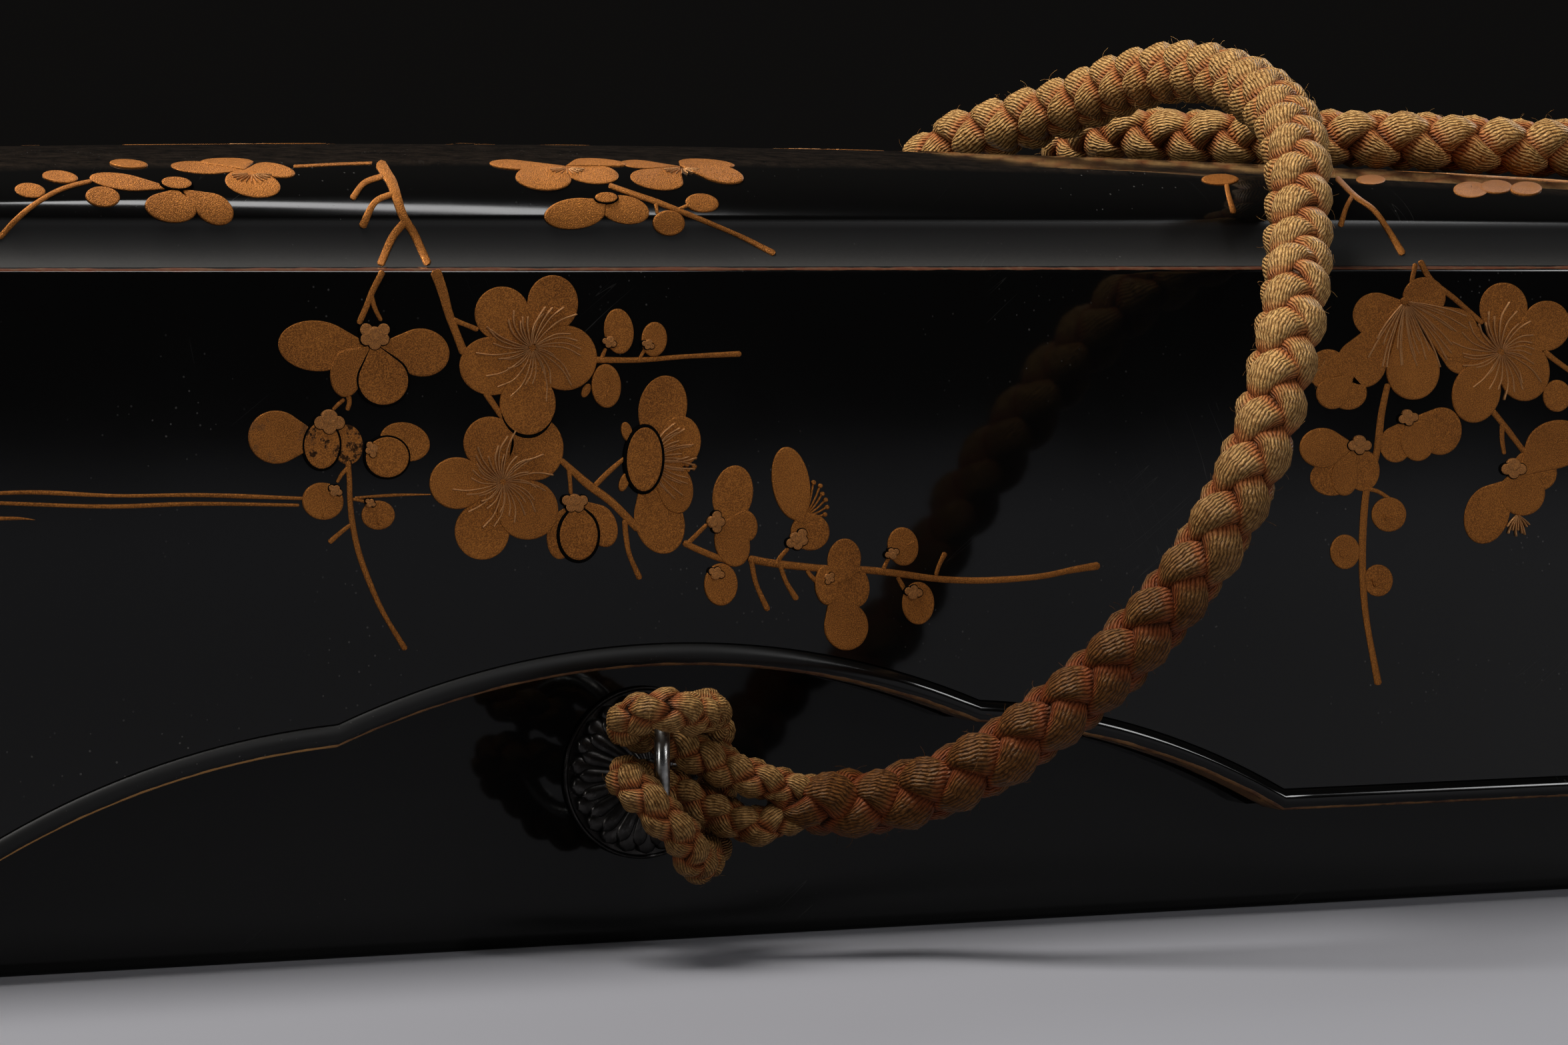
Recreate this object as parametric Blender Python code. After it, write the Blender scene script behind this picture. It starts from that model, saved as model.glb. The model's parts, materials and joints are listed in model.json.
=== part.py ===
"""Lacquer letter box: a long domed box whose deep lid lifts off, with a ring and a silk cord on each long side.

Lengths are metres, +Z is up, +X runs along the box and the seen long side faces -Y.
The origin is the middle of the underside, on the table.
"""
import math

import bmesh
import bpy
from mathutils import Matrix, Vector

# Sizes of the lid
LID_LENGTH = 0.303
LID_WIDTH = 0.091
SIDE_HEIGHT = 0.070          # table to the arris where the lid's side ends
CROWN_RISE = 0.0134          # arris to the crest of the domed top
LENGTH_CROWN = 0.186         # fall of the dome towards the ends, per metre of distance squared
WIDTH_CROWN = 1.8            # fall of the dome towards the long sides, per metre of distance squared
LID_WALL = 0.005
LID_TOP = 0.0055             # thickness of the domed top
LID_CORNER = 0.006           # outer radius of the upright corners
INNER_CORNER = 0.001         # least radius of an inner corner
EDGE_HEIGHT = 0.0112         # table to the lid's straight lower edge
COVE_DEPTH = 0.0040          # how far the hollow moulding above the arris cuts in
COVE_HEIGHT = 0.0044
SHOULDER_DEPTH = 0.0065      # from the cove's root to where the dome begins
SEAT_LEDGE = 0.0075          # flat shelf inside the lid that lies on the body's rim
VAULT_SLOPE = 0.004          # width of the slope between the shelf and the ceiling

# The bracket-shaped cut in each long side of the lid
CUT_HALF = 0.073             # middle to the lower corner
CUSP_HALF = 0.036            # middle to the cusp
CUSP_HEIGHT = 0.0221
CUT_PEAK = 0.0292
LOBE_RADIUS = 0.089

# The bead along the lid's lower edge
BEAD_HEIGHT = 0.0024
BEAD_PROUD = 0.00045

# Sizes of the body
LID_PLAY = 0.0015            # clearance between the body's walls and the lid's
BODY_WALL = 0.004
BODY_FLOOR = 0.004
BODY_CORNER = 0.0045
FOOT_CHAMFER = 0.0006
RIM_BELOW_ARRIS = 0.0043     # the body's rim lies this far under the lid's arris

# Rings, pins and rosettes
FITTING_HEIGHT = 0.0177      # table to the middle of the rosette
ROSETTE_RADIUS = 0.009
ROSETTE_HEIGHT = 0.0023
PETALS = 16
PIN_RADIUS = 0.0011
PIN_HOLE_CLEARANCE = 0.0003
PIN_HOLE_DEPTH = 0.003
PIN_EYE_RADIUS = 0.0026      # middle of the wire
PIN_WIRE = 0.0006            # radius of the wire
RING_RADIUS = 0.007          # middle of the wire
RING_WIRE = 0.0008           # radius of the wire
RING_TURN = math.radians(25.2)
RING_LIFT = math.radians(25.0)

# Cord
CORD_RADIUS = 0.00375
EYE_CORD_RADIUS = 0.0021     # each of the two thinner braids that make the eye
CORD_STEP = 1.5              # spacing of the tube's points, in cord diameters
EYE_STEP = 0.6

GAP = 0.0003                 # left between pieces that touch

# Steps of the round stretches
CENTRE_STEPS = 10
LOBE_STEPS = 5
FLAT_STEPS = 3
CORNER_STEPS = 3
END_STEPS = 2
PIN_SIDES = 12

BODY_HALF_LENGTH = LID_LENGTH / 2 - LID_WALL - LID_PLAY
BODY_HALF_WIDTH = LID_WIDTH / 2 - LID_WALL - LID_PLAY
RIM_HEIGHT = SIDE_HEIGHT - RIM_BELOW_ARRIS
SIDES = {"front": -1, "rear": 1}

# The cord's route from the eye at the front ring to the eye at the rear ring
CORD_ROUTE = [
    (0.0059, -0.0573, 0.0159), (0.0106, -0.0586, 0.0157), (0.0150, -0.0593, 0.0156),
    (0.0190, -0.0610, 0.0162), (0.0226, -0.0643, 0.0179), (0.0262, -0.0673, 0.0203),
    (0.0302, -0.0696, 0.0235), (0.0369, -0.0715, 0.0290), (0.0431, -0.0735, 0.0358),
    (0.0479, -0.0745, 0.0425), (0.0519, -0.0738, 0.0485), (0.0555, -0.0720, 0.0539),
    (0.0600, -0.0678, 0.0612), (0.0646, -0.0618, 0.0676), (0.0686, -0.0556, 0.0716),
    (0.0716, -0.0506, 0.0760), (0.0752, -0.0438, 0.0815), (0.0795, -0.0334, 0.0866),
    (0.0826, -0.0190, 0.0905), (0.0833, -0.0050, 0.0924), (0.0832, 0.0080, 0.0917),
    (0.0822, 0.0210, 0.0892), (0.0794, 0.0320, 0.0870), (0.0756, 0.0415, 0.0843),
    (0.0733, 0.0482, 0.0783), (0.0707, 0.0505, 0.0695), (0.0682, 0.0503, 0.0580),
    (0.0729, 0.0503, 0.0467), (0.0840, 0.0503, 0.0420), (0.0951, 0.0503, 0.0467),
    (0.0998, 0.0503, 0.0580), (0.0984, 0.0503, 0.0660), (0.0958, 0.0496, 0.0732),
    (0.0936, 0.0466, 0.0797), (0.0925, 0.0409, 0.0840), (0.0941, 0.0325, 0.0857),
    (0.0999, 0.0220, 0.0853), (0.1052, 0.0150, 0.0853), (0.1109, 0.0093, 0.0852),
    (0.1177, 0.0050, 0.0849), (0.1251, 0.0020, 0.0845), (0.1332, 0.0000, 0.0841),
    (0.1402, -0.0012, 0.0840), (0.1473, -0.0014, 0.0828), (0.1533, -0.0006, 0.0788),
    (0.1567, 0.0016, 0.0722), (0.1572, 0.0050, 0.0620), (0.1570, 0.0100, 0.0500),
    (0.1574, 0.0170, 0.0375), (0.1586, 0.0255, 0.0255), (0.1600, 0.0355, 0.0145),
    (0.1593, 0.0465, 0.0068), (0.1540, 0.0565, 0.0043), (0.1450, 0.0630, 0.0040),
    (0.1330, 0.0665, 0.0040), (0.1180, 0.0675, 0.0040), (0.1000, 0.0660, 0.0040),
    (0.0820, 0.0645, 0.0040), (0.0640, 0.0650, 0.0040), (0.0460, 0.0656, 0.0040),
    (0.0350, 0.0642, 0.0052), (0.0272, 0.0624, 0.0086), (0.0205, 0.0607, 0.0132),
    (0.0150, 0.0593, 0.0154), (0.0106, 0.0586, 0.0158), (0.0059, 0.0573, 0.0159),
]

# The eye hitched round the ring: across the ring, outwards from its outermost point, height
EYE_ROUTE = [
    (0.0097, -0.0047, 0.0182), (0.0070, -0.0048, 0.0192), (0.0036, -0.0047, 0.0207),
    (0.0006, -0.0042, 0.0223), (-0.0022, -0.0032, 0.0232), (-0.0036, -0.0008, 0.0240),
    (-0.0029, 0.0018, 0.0252), (-0.0006, 0.0032, 0.0260), (0.0017, 0.0026, 0.0259),
    (0.0033, 0.0004, 0.0253), (0.0042, -0.0026, 0.0254), (0.0047, -0.0060, 0.0250),
    (0.0050, -0.0091, 0.0226), (0.0052, -0.0099, 0.0190), (0.0052, -0.0098, 0.0150),
    (0.0049, -0.0087, 0.0114), (0.0044, -0.0058, 0.0092), (0.0037, -0.0026, 0.0089),
    (0.0029, 0.0004, 0.0100), (0.0020, 0.0025, 0.0122), (0.0006, 0.0035, 0.0148),
    (-0.0012, 0.0034, 0.0168), (-0.0029, 0.0019, 0.0182), (-0.0036, -0.0008, 0.0189),
    (-0.0026, -0.0033, 0.0184), (0.0004, -0.0046, 0.0176), (0.0036, -0.0048, 0.0159),
    (0.0070, -0.0049, 0.0142), (0.0097, -0.0048, 0.0136),
]


def material(name, colour, roughness, metallic=0.0):
    """Makes a plain Principled material."""
    made = bpy.data.materials.new(name)
    made.use_nodes = True
    shader = made.node_tree.nodes["Principled BSDF"]
    shader.inputs["Base Color"].default_value = (*colour, 1.0)
    shader.inputs["Roughness"].default_value = roughness
    shader.inputs["Metallic"].default_value = metallic
    return made


def add_object(name, data, finish):
    """Links a mesh or curve under its name, with its one material."""
    made = bpy.data.objects.new(name, data)
    bpy.context.scene.collection.objects.link(made)
    data.materials.append(finish)
    return made


def mesh_from(name, bm):
    """Turns a bmesh into a mesh with outward faces, smooth but for its sharp edges."""
    bmesh.ops.remove_doubles(bm, verts=bm.verts, dist=1e-6)
    bmesh.ops.recalc_face_normals(bm, faces=bm.faces)
    mesh = bpy.data.meshes.new(name)
    bm.to_mesh(mesh)
    bm.free()
    mesh.shade_smooth()
    mesh.set_sharp_from_angle(angle=math.radians(35))
    return mesh


def spaced(start, end, steps):
    """Steps from start up to, but not onto, end."""
    return [start + (end - start) * i / steps for i in range(steps)]


def side_stations(straight_half):
    """X of every column along a long side, with one on each cusp and corner of the cut."""
    marks = [
        (-straight_half, -CUT_HALF, FLAT_STEPS), (-CUT_HALF, -CUSP_HALF, LOBE_STEPS),
        (-CUSP_HALF, CUSP_HALF, CENTRE_STEPS), (CUSP_HALF, CUT_HALF, LOBE_STEPS),
        (CUT_HALF, straight_half, FLAT_STEPS),
    ]
    stations = []
    for start, end, steps in marks:
        stations += spaced(start, end, steps)
    return stations + [straight_half]


def outline(half_length, half_width, radius, stations):
    """A rounded rectangle, anticlockwise from its front left, with the given columns on its long sides."""
    straight = half_length - radius
    stretch = straight / stations[-1]
    across = half_width - radius
    points = [(x * stretch, -half_width) for x in stations]
    points += corner(straight, -across, radius, -math.pi / 2)
    points += [(half_length, y) for y in spaced(-across, across, END_STEPS)] + [(half_length, across)]
    points += corner(straight, across, radius, 0.0)
    points += [(x * stretch, half_width) for x in reversed(stations)]
    points += corner(-straight, across, radius, math.pi / 2)
    points += [(-half_length, y) for y in spaced(across, -across, END_STEPS)] + [(-half_length, -across)]
    points += corner(-straight, -across, radius, math.pi)
    return points


def corner(x, y, radius, start):
    """The points between the two ends of a quarter circle."""
    turns = [start + math.pi / 2 * i / CORNER_STEPS for i in range(1, CORNER_STEPS)]
    return [(x + radius * math.cos(a), y + radius * math.sin(a)) for a in turns]


def circle_through(x, near, far, radius):
    """Height at x of the arc that bulges upwards from the point near to the point far."""
    middle = (Vector(near) + Vector(far)) / 2
    chord = Vector(far) - Vector(near)
    rise = math.sqrt(max(radius ** 2 - (chord.length / 2) ** 2, 0.0))
    down = Vector((chord.y, -chord.x)).normalized()
    centre = middle + down * rise
    return centre.y + math.sqrt(max(radius ** 2 - (x - centre.x) ** 2, 0.0))


def cut_height(x):
    """Height of the lid's lower edge on a long side: one wide arch between two lobes."""
    reach = abs(x)
    if reach >= CUT_HALF:
        return EDGE_HEIGHT
    if reach >= CUSP_HALF:
        return circle_through(reach, (CUSP_HALF, CUSP_HEIGHT), (CUT_HALF, EDGE_HEIGHT), LOBE_RADIUS)
    rise = CUT_PEAK - CUSP_HEIGHT
    radius = (CUSP_HALF ** 2 + rise ** 2) / (2 * rise)
    return CUT_PEAK - radius + math.sqrt(radius ** 2 - x ** 2)


def dome_height(x, y):
    """Height of the lid's top, which falls away both along and across."""
    return SIDE_HEIGHT + CROWN_RISE - LENGTH_CROWN * x * x - WIDTH_CROWN * y * y


def ring_points(offset, stations, height):
    """One closed row of the lid at an inward offset; height is a function of column, x and y."""
    radius = max(LID_CORNER - offset, INNER_CORNER)
    flat = outline(LID_LENGTH / 2 - offset, LID_WIDTH / 2 - offset, radius, stations)
    return [(x, y, height(i, x, y)) for i, (x, y) in enumerate(flat)]


def close_with_grid(bm, loop, columns, height):
    """Fills a closed row with a grid that spans it from side to side, its heights from a function."""
    rows = END_STEPS + 2 * CORNER_STEPS
    last = columns - 1
    front = loop[:columns]
    right = loop[last:last + rows + 1]
    rear = list(reversed(loop[last + rows:2 * last + rows + 1]))
    left = list(reversed(loop[2 * last + rows:] + loop[:1]))
    grid = [front]
    for j in range(1, rows):
        line = [left[j]]
        for i in range(1, last):
            u, v = i / last, j / rows
            across = front[i].co.lerp(rear[i].co, v)
            along = left[j].co.lerp(right[j].co, u)
            low = front[0].co.lerp(front[last].co, u)
            high = rear[0].co.lerp(rear[last].co, u)
            spot = across + along - low.lerp(high, v)
            line.append(bm.verts.new((spot.x, spot.y, height(spot.x, spot.y))))
        grid.append(line + [right[j]])
    grid.append(rear)
    for j in range(rows):
        for i in range(last):
            bm.faces.new((grid[j][i], grid[j][i + 1], grid[j + 1][i + 1], grid[j + 1][i]))


def join_rows(bm, rows):
    """Faces between each closed row and the next."""
    for low, high in zip(rows[:-1], rows[1:]):
        count = len(low)
        for i in range(count):
            j = (i + 1) % count
            bm.faces.new((low[i], low[j], high[j], high[i]))


def lid_mesh():
    """The lid: a thick wall cut away below, a bead, an arris, a cove, a shoulder and a domed top."""
    stations = side_stations(LID_LENGTH / 2 - LID_CORNER)
    flat = ring_points(0.0, stations, lambda i, x, y: 0.0)
    on_side = [abs(abs(y) - LID_WIDTH / 2) < 1e-9 for x, y, z in flat]
    edges = [cut_height(p[0]) if side else EDGE_HEIGHT for p, side in zip(flat, on_side)]
    dome_offset = COVE_DEPTH + SHOULDER_DEPTH
    root = SIDE_HEIGHT + COVE_HEIGHT
    brow = [p[2] for p in ring_points(dome_offset, stations, lambda i, x, y: dome_height(x, y))]

    def above_edge(rise):
        return lambda i, x, y: edges[i] + rise

    def level(z):
        return lambda i, x, y: z

    def shoulder(share):
        return lambda i, x, y: root + share * (brow[i] - root)

    def ceiling(i, x, y):
        return dome_height(x, y) - LID_TOP

    seat = RIM_HEIGHT + GAP
    shelf = LID_WALL + SEAT_LEDGE
    profile = [
        (shelf + VAULT_SLOPE, ceiling), (shelf, level(seat)), (LID_WALL, level(seat)),
        (LID_WALL, above_edge(0.0)), (BEAD_PROUD, above_edge(0.0)),
        (-0.7 * BEAD_PROUD, above_edge(0.2 * BEAD_HEIGHT)), (-BEAD_PROUD, above_edge(0.5 * BEAD_HEIGHT)),
        (-0.5 * BEAD_PROUD, above_edge(0.85 * BEAD_HEIGHT)), (0.0, above_edge(BEAD_HEIGHT)),
        (0.0, level(SIDE_HEIGHT - GAP)), (GAP, level(SIDE_HEIGHT)),
        (0.45 * COVE_DEPTH, level(SIDE_HEIGHT + 0.08 * COVE_HEIGHT)),
        (0.78 * COVE_DEPTH, level(SIDE_HEIGHT + 0.32 * COVE_HEIGHT)),
        (0.95 * COVE_DEPTH, level(SIDE_HEIGHT + 0.65 * COVE_HEIGHT)), (COVE_DEPTH, level(root)),
        (COVE_DEPTH + 0.05 * SHOULDER_DEPTH, shoulder(0.3)),
        (COVE_DEPTH + 0.2 * SHOULDER_DEPTH, shoulder(0.6)),
        (COVE_DEPTH + 0.5 * SHOULDER_DEPTH, shoulder(0.85)), (dome_offset, shoulder(1.0)),
    ]
    bm = bmesh.new()
    rows = []
    for offset, height in profile:
        rows.append([bm.verts.new(p) for p in ring_points(offset, stations, height)])
    join_rows(bm, rows)
    close_with_grid(bm, rows[-1], len(stations), dome_height)
    close_with_grid(bm, rows[0], len(stations), lambda x, y: dome_height(x, y) - LID_TOP)
    return mesh_from("lid", bm)


def body_mesh():
    """The body: an open tray with walls of one thickness and a flat floor."""
    stations = [-(BODY_HALF_LENGTH - BODY_CORNER), BODY_HALF_LENGTH - BODY_CORNER]
    profile = [
        (FOOT_CHAMFER, 0.0), (0.0, FOOT_CHAMFER), (0.0, RIM_HEIGHT),
        (BODY_WALL, RIM_HEIGHT), (BODY_WALL, BODY_FLOOR),
    ]
    bm = bmesh.new()
    rows = []
    for offset, z in profile:
        radius = max(BODY_CORNER - offset, INNER_CORNER)
        flat = outline(BODY_HALF_LENGTH - offset, BODY_HALF_WIDTH - offset, radius, stations)
        rows.append([bm.verts.new((x, y, z)) for x, y in flat])
    join_rows(bm, rows)
    bm.faces.new(reversed(rows[0]))
    bm.faces.new(rows[-1])
    return mesh_from("box_body", bm)


def rosette_mesh(name, side):
    """A round plate carved as a double chrysanthemum, with a hole for the pin."""
    hole = PIN_RADIUS + PIN_HOLE_CLEARANCE
    back = side * (BODY_HALF_WIDTH + GAP)
    # share of the radius, height on a petal's ridge and in its groove, and which row of petals
    rows = [
        (0.30, 0.95, 0.95, 0), (0.50, 1.00, 0.78, 0), (0.71, 0.92, 0.66, 0), (0.76, 0.50, 0.46, 1),
        (0.88, 0.56, 0.32, 1), (0.93, 0.24, 0.24, 1), (0.95, 0.32, 0.32, 1), (1.00, 0.30, 0.30, 1),
    ]
    profile = [(hole, 0.0, 0.0, 0), (hole, 0.85, 0.85, 0)]
    profile += [(share * ROSETTE_RADIUS, ridge, groove, row) for share, ridge, groove, row in rows]
    profile += [(ROSETTE_RADIUS, 0.0, 0.0, 0)]
    columns = 2 * PETALS
    bm = bmesh.new()
    loops = []
    for radius, ridge, groove, row in profile:
        loop = []
        for i in range(columns):
            angle = math.tau * i / columns
            high = (i + row) % 2 == 0
            lift = ROSETTE_HEIGHT * (ridge if high else groove)
            x, z = radius * math.cos(angle), radius * math.sin(angle)
            loop.append(bm.verts.new((x, back + side * lift, FITTING_HEIGHT + z)))
        loops.append(loop)
    join_rows(bm, loops + [loops[0]])
    return mesh_from(name, bm)


def torus_mesh(name, radius, wire, around, sides, place):
    """A wire ring, put in place by a matrix."""
    bm = bmesh.new()
    loops = []
    for i in range(around):
        turn = math.tau * i / around
        loop = []
        for j in range(sides):
            lean = math.tau * j / sides
            reach = radius + wire * math.cos(lean)
            spot = Vector((reach * math.cos(turn), reach * math.sin(turn), wire * math.sin(lean)))
            loop.append(bm.verts.new(place @ spot))
        loops.append(loop)
    join_rows(bm, loops + [loops[0]])
    return mesh_from(name, bm)


def add_cylinder(name, radius, start, end, finish):
    """A straight round bar between two points."""
    axis = Vector(end) - Vector(start)
    bm = bmesh.new()
    bmesh.ops.create_cone(
        bm, cap_ends=True, segments=PIN_SIDES, radius1=radius, radius2=radius, depth=axis.length
    )
    turn = axis.to_track_quat("Z", "Y").to_matrix().to_4x4()
    bmesh.ops.transform(bm, matrix=Matrix.Translation((Vector(start) + Vector(end)) / 2) @ turn, verts=bm.verts)
    return add_object(name, mesh_from(name, bm), finish)


def hide_helper(helper):
    """Marks an object that only shapes another."""
    helper.hide_render = True
    helper.display_type = "WIRE"


def combine(target, helper, operation):
    """Cuts or joins with an exact Boolean that stays on the target."""
    hide_helper(helper)
    change = target.modifiers.new(helper.name, "BOOLEAN")
    change.operation = operation
    change.object = helper
    change.solver = "EXACT"


def pin_eye_distance():
    """From the body's wall to the middle of the pin's eye, which stands clear of the rosette."""
    return GAP + ROSETTE_HEIGHT + GAP + PIN_EYE_RADIUS + PIN_WIRE


def ring_frame(side):
    """The ring's own directions: across it, outwards from the wall, and its eye's place."""
    across = Vector((math.cos(RING_TURN), side * math.sin(RING_TURN), 0.0))
    outwards = Vector((-math.sin(RING_TURN), side * math.cos(RING_TURN), 0.0))
    eye = Vector((0.0, side * (BODY_HALF_WIDTH + pin_eye_distance()), FITTING_HEIGHT))
    return across, outwards, eye


def ring_outermost(side):
    """The point of the ring that stands farthest out, at the height of the ring's middle."""
    across, outwards, eye = ring_frame(side)
    reach = RING_RADIUS * (math.cos(RING_LIFT) + 1.0)
    return eye + outwards * reach + Vector((0.0, 0.0, RING_RADIUS * math.sin(RING_LIFT)))


def add_fitting(where, side, body, metal, silver):
    """A rosette, the pin through it with its eye, and the loose ring in the eye."""
    name = where + "_rosette"
    add_object(name, rosette_mesh(name, side), metal)
    across, outwards, eye = ring_frame(side)
    name = where + "_ring_pin"
    flat = Matrix.Translation(eye)
    pin = add_object(name, torus_mesh(name, PIN_EYE_RADIUS, PIN_WIRE, 16, 6, flat), metal)
    inner_end = side * (BODY_HALF_WIDTH - PIN_HOLE_DEPTH + GAP)
    neck = Vector((0.0, eye.y - side * PIN_EYE_RADIUS, FITTING_HEIGHT))
    shank = add_cylinder(where + "_pin_shank", PIN_RADIUS, (0.0, inner_end, FITTING_HEIGHT), neck, metal)
    combine(pin, shank, "UNION")
    drilled = PIN_RADIUS + PIN_HOLE_CLEARANCE
    mouth = Vector((0.0, side * (BODY_HALF_WIDTH + GAP), FITTING_HEIGHT))
    floor = Vector((0.0, side * (BODY_HALF_WIDTH - PIN_HOLE_DEPTH), FITTING_HEIGHT))
    combine(body, add_cylinder(where + "_pin_hole", drilled, floor, mouth, metal), "DIFFERENCE")
    centre = ring_outermost(side) - outwards * RING_RADIUS
    upright = Matrix((outwards, (0.0, 0.0, 1.0), across)).transposed().to_4x4()
    name = where + "_ring"
    ring = torus_mesh(name, RING_RADIUS, RING_WIRE, 24, 6, Matrix.Translation(centre) @ upright)
    add_object(name, ring, silver)


def smooth_route(points, step):
    """Points at an even spacing on a smooth curve through the route."""
    ends = [points[0] * 2 - points[1], *points, points[-1] * 2 - points[-2]]
    fine = []
    for a, b, c, d in zip(ends[:-3], ends[1:-2], ends[2:-1], ends[3:]):
        for i in range(16):
            t = i / 16
            fine.append(
                0.5 * (2 * b + (c - a) * t + (2 * a - 5 * b + 4 * c - d) * t ** 2
                       + (3 * b - a - 3 * c + d) * t ** 3)
            )
    fine.append(points[-1])
    travelled = [0.0]
    for near, far in zip(fine[:-1], fine[1:]):
        travelled.append(travelled[-1] + (far - near).length)
    count = max(2, round(travelled[-1] / step))
    even = []
    index = 0
    for i in range(count + 1):
        want = travelled[-1] * i / count
        while index < len(fine) - 2 and travelled[index + 1] < want:
            index += 1
        part = (want - travelled[index]) / (travelled[index + 1] - travelled[index])
        even.append(fine[index].lerp(fine[index + 1], part))
    return even


def add_tube(name, points, radius, finish):
    """A plain round tube along points, closed at both ends."""
    curve = bpy.data.curves.new(name, "CURVE")
    curve.dimensions = "3D"
    curve.bevel_depth = radius
    curve.bevel_resolution = 2
    curve.render_resolution_u = 0
    curve.use_fill_caps = True
    spline = curve.splines.new("POLY")
    spline.points.add(len(points) - 1)
    for knot, place in zip(spline.points, points):
        knot.co = (*place, 1.0)
    return add_object(name, curve, finish)


def add_cords(silk):
    """The long cord and the split eye at each of its ends."""
    route = [Vector(p) for p in CORD_ROUTE]
    add_tube("cord", smooth_route(route, CORD_STEP * 2 * CORD_RADIUS), CORD_RADIUS, silk)
    for where, side in SIDES.items():
        across, outwards, eye = ring_frame(side)
        outermost = ring_outermost(side)
        level = Vector((outermost.x, outermost.y, 0.0))
        places = [level + across * a + outwards * o + Vector((0.0, 0.0, z)) for a, o, z in EYE_ROUTE]
        step = EYE_STEP * 2 * EYE_CORD_RADIUS
        add_tube(where + "_cord_eye", smooth_route(places, step), EYE_CORD_RADIUS, silk)


def main():
    """Builds the whole box in an empty scene."""
    for old in list(bpy.data.objects):
        bpy.data.objects.remove(old, do_unlink=True)
    lacquer = material("black_lacquer", (0.008, 0.008, 0.008), 0.12)
    metal = material("dark_copper", (0.045, 0.040, 0.038), 0.35, 0.9)
    silver = material("ring_silver", (0.45, 0.45, 0.44), 0.3, 1.0)
    silk = material("cord_silk", (0.42, 0.24, 0.10), 0.7)
    add_object("lid", lid_mesh(), lacquer)
    body = add_object("box_body", body_mesh(), lacquer)
    for where, side in SIDES.items():
        add_fitting(where, side, body, metal, silver)
    add_cords(silk)


main()
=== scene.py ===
# %% [markdown]
# # A lacquer letter box
# This lesson dresses the plain solids of a long letter box: black lacquer, a raised gold pattern of plum
# blossom, cast rosettes with rings, and a thick silk cord. The solids come first as a fixed frame. Every
# piece that is made here stands for one of them or lies on it, in the same metres.

# %% Load the frame
import json
import math
import random

import bmesh
import bpy
import numpy as np
from mathutils import Matrix, Vector

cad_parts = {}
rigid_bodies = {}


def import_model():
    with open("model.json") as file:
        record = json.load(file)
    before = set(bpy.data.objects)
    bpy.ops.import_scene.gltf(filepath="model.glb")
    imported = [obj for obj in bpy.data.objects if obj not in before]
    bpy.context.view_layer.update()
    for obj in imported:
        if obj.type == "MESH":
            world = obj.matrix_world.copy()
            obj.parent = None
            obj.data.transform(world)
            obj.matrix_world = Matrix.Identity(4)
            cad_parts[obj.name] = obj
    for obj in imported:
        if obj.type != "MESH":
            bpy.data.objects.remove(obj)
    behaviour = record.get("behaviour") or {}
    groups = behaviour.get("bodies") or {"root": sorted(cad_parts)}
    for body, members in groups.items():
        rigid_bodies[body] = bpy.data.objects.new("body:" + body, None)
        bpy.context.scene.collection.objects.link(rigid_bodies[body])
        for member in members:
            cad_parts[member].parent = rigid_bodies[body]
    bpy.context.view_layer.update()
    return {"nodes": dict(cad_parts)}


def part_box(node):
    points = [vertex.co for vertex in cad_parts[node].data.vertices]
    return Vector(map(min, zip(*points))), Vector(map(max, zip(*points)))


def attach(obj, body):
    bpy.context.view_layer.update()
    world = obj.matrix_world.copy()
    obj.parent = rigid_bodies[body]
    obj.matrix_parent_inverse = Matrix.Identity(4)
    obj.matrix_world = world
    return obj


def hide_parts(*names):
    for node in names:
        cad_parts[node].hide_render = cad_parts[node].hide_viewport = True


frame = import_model()
scene = bpy.context.scene
MM = 0.001
print("nodes:", ", ".join(sorted(frame["nodes"])))

# %% [markdown]
# ## The camera
# The photograph was taken close to the table, a little to the left of the box, with a long lens. The
# view is a place, two angles and a lens. The same numbers serve again below, where a drawn point is sent
# along its line of sight until it meets the lacquer.

# %% Camera
CAMERA_PLACE = Vector((-0.2329, -0.5754, 0.0720))
CAMERA_TURN = math.radians(24.916)
CAMERA_TILT = math.radians(-2.774)
CAMERA_LENS = 129.6
SENSOR = 36.0
PHOTO_WIDE = 2352.0
PHOTO_HIGH = 1568.0

camera_data = bpy.data.cameras.new("camera")
camera_data.lens = CAMERA_LENS
camera_data.sensor_width = SENSOR
camera_data.clip_start = 0.01
camera = bpy.data.objects.new("camera", camera_data)
scene.collection.objects.link(camera)
camera.location = CAMERA_PLACE
camera.rotation_euler = (math.pi / 2 + CAMERA_TILT, 0.0, -CAMERA_TURN)
scene.camera = camera
SIGHT = Matrix.Rotation(-CAMERA_TURN, 3, "Z") @ Matrix.Rotation(math.pi / 2 + CAMERA_TILT, 3, "X")
PIXEL = SENSOR / CAMERA_LENS / PHOTO_WIDE


def line_of_sight(x, y):
    """The direction in which the camera sees a pixel of the photograph."""
    return SIGHT @ Vector(((x - PHOTO_WIDE / 2) * PIXEL, (PHOTO_HIGH / 2 - y) * PIXEL, -1.0))


def seen_on_plane(x, y, depth):
    """Where that line of sight meets the upright plane Y = depth."""
    along = line_of_sight(x, y)
    return CAMERA_PLACE + along * ((depth - CAMERA_PLACE.y) / along.y)


print("camera at", tuple(round(v, 3) for v in CAMERA_PLACE))

# %% [markdown]
# ## The cord's route
# A silk cord is settled before anything else, because its length is a fact. The points go from the eye at
# the front ring, up over the front edge, over the lid and down behind it, back up and off the right end,
# then along the table to the ring at the back. They are the points of the solid cord.

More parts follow.
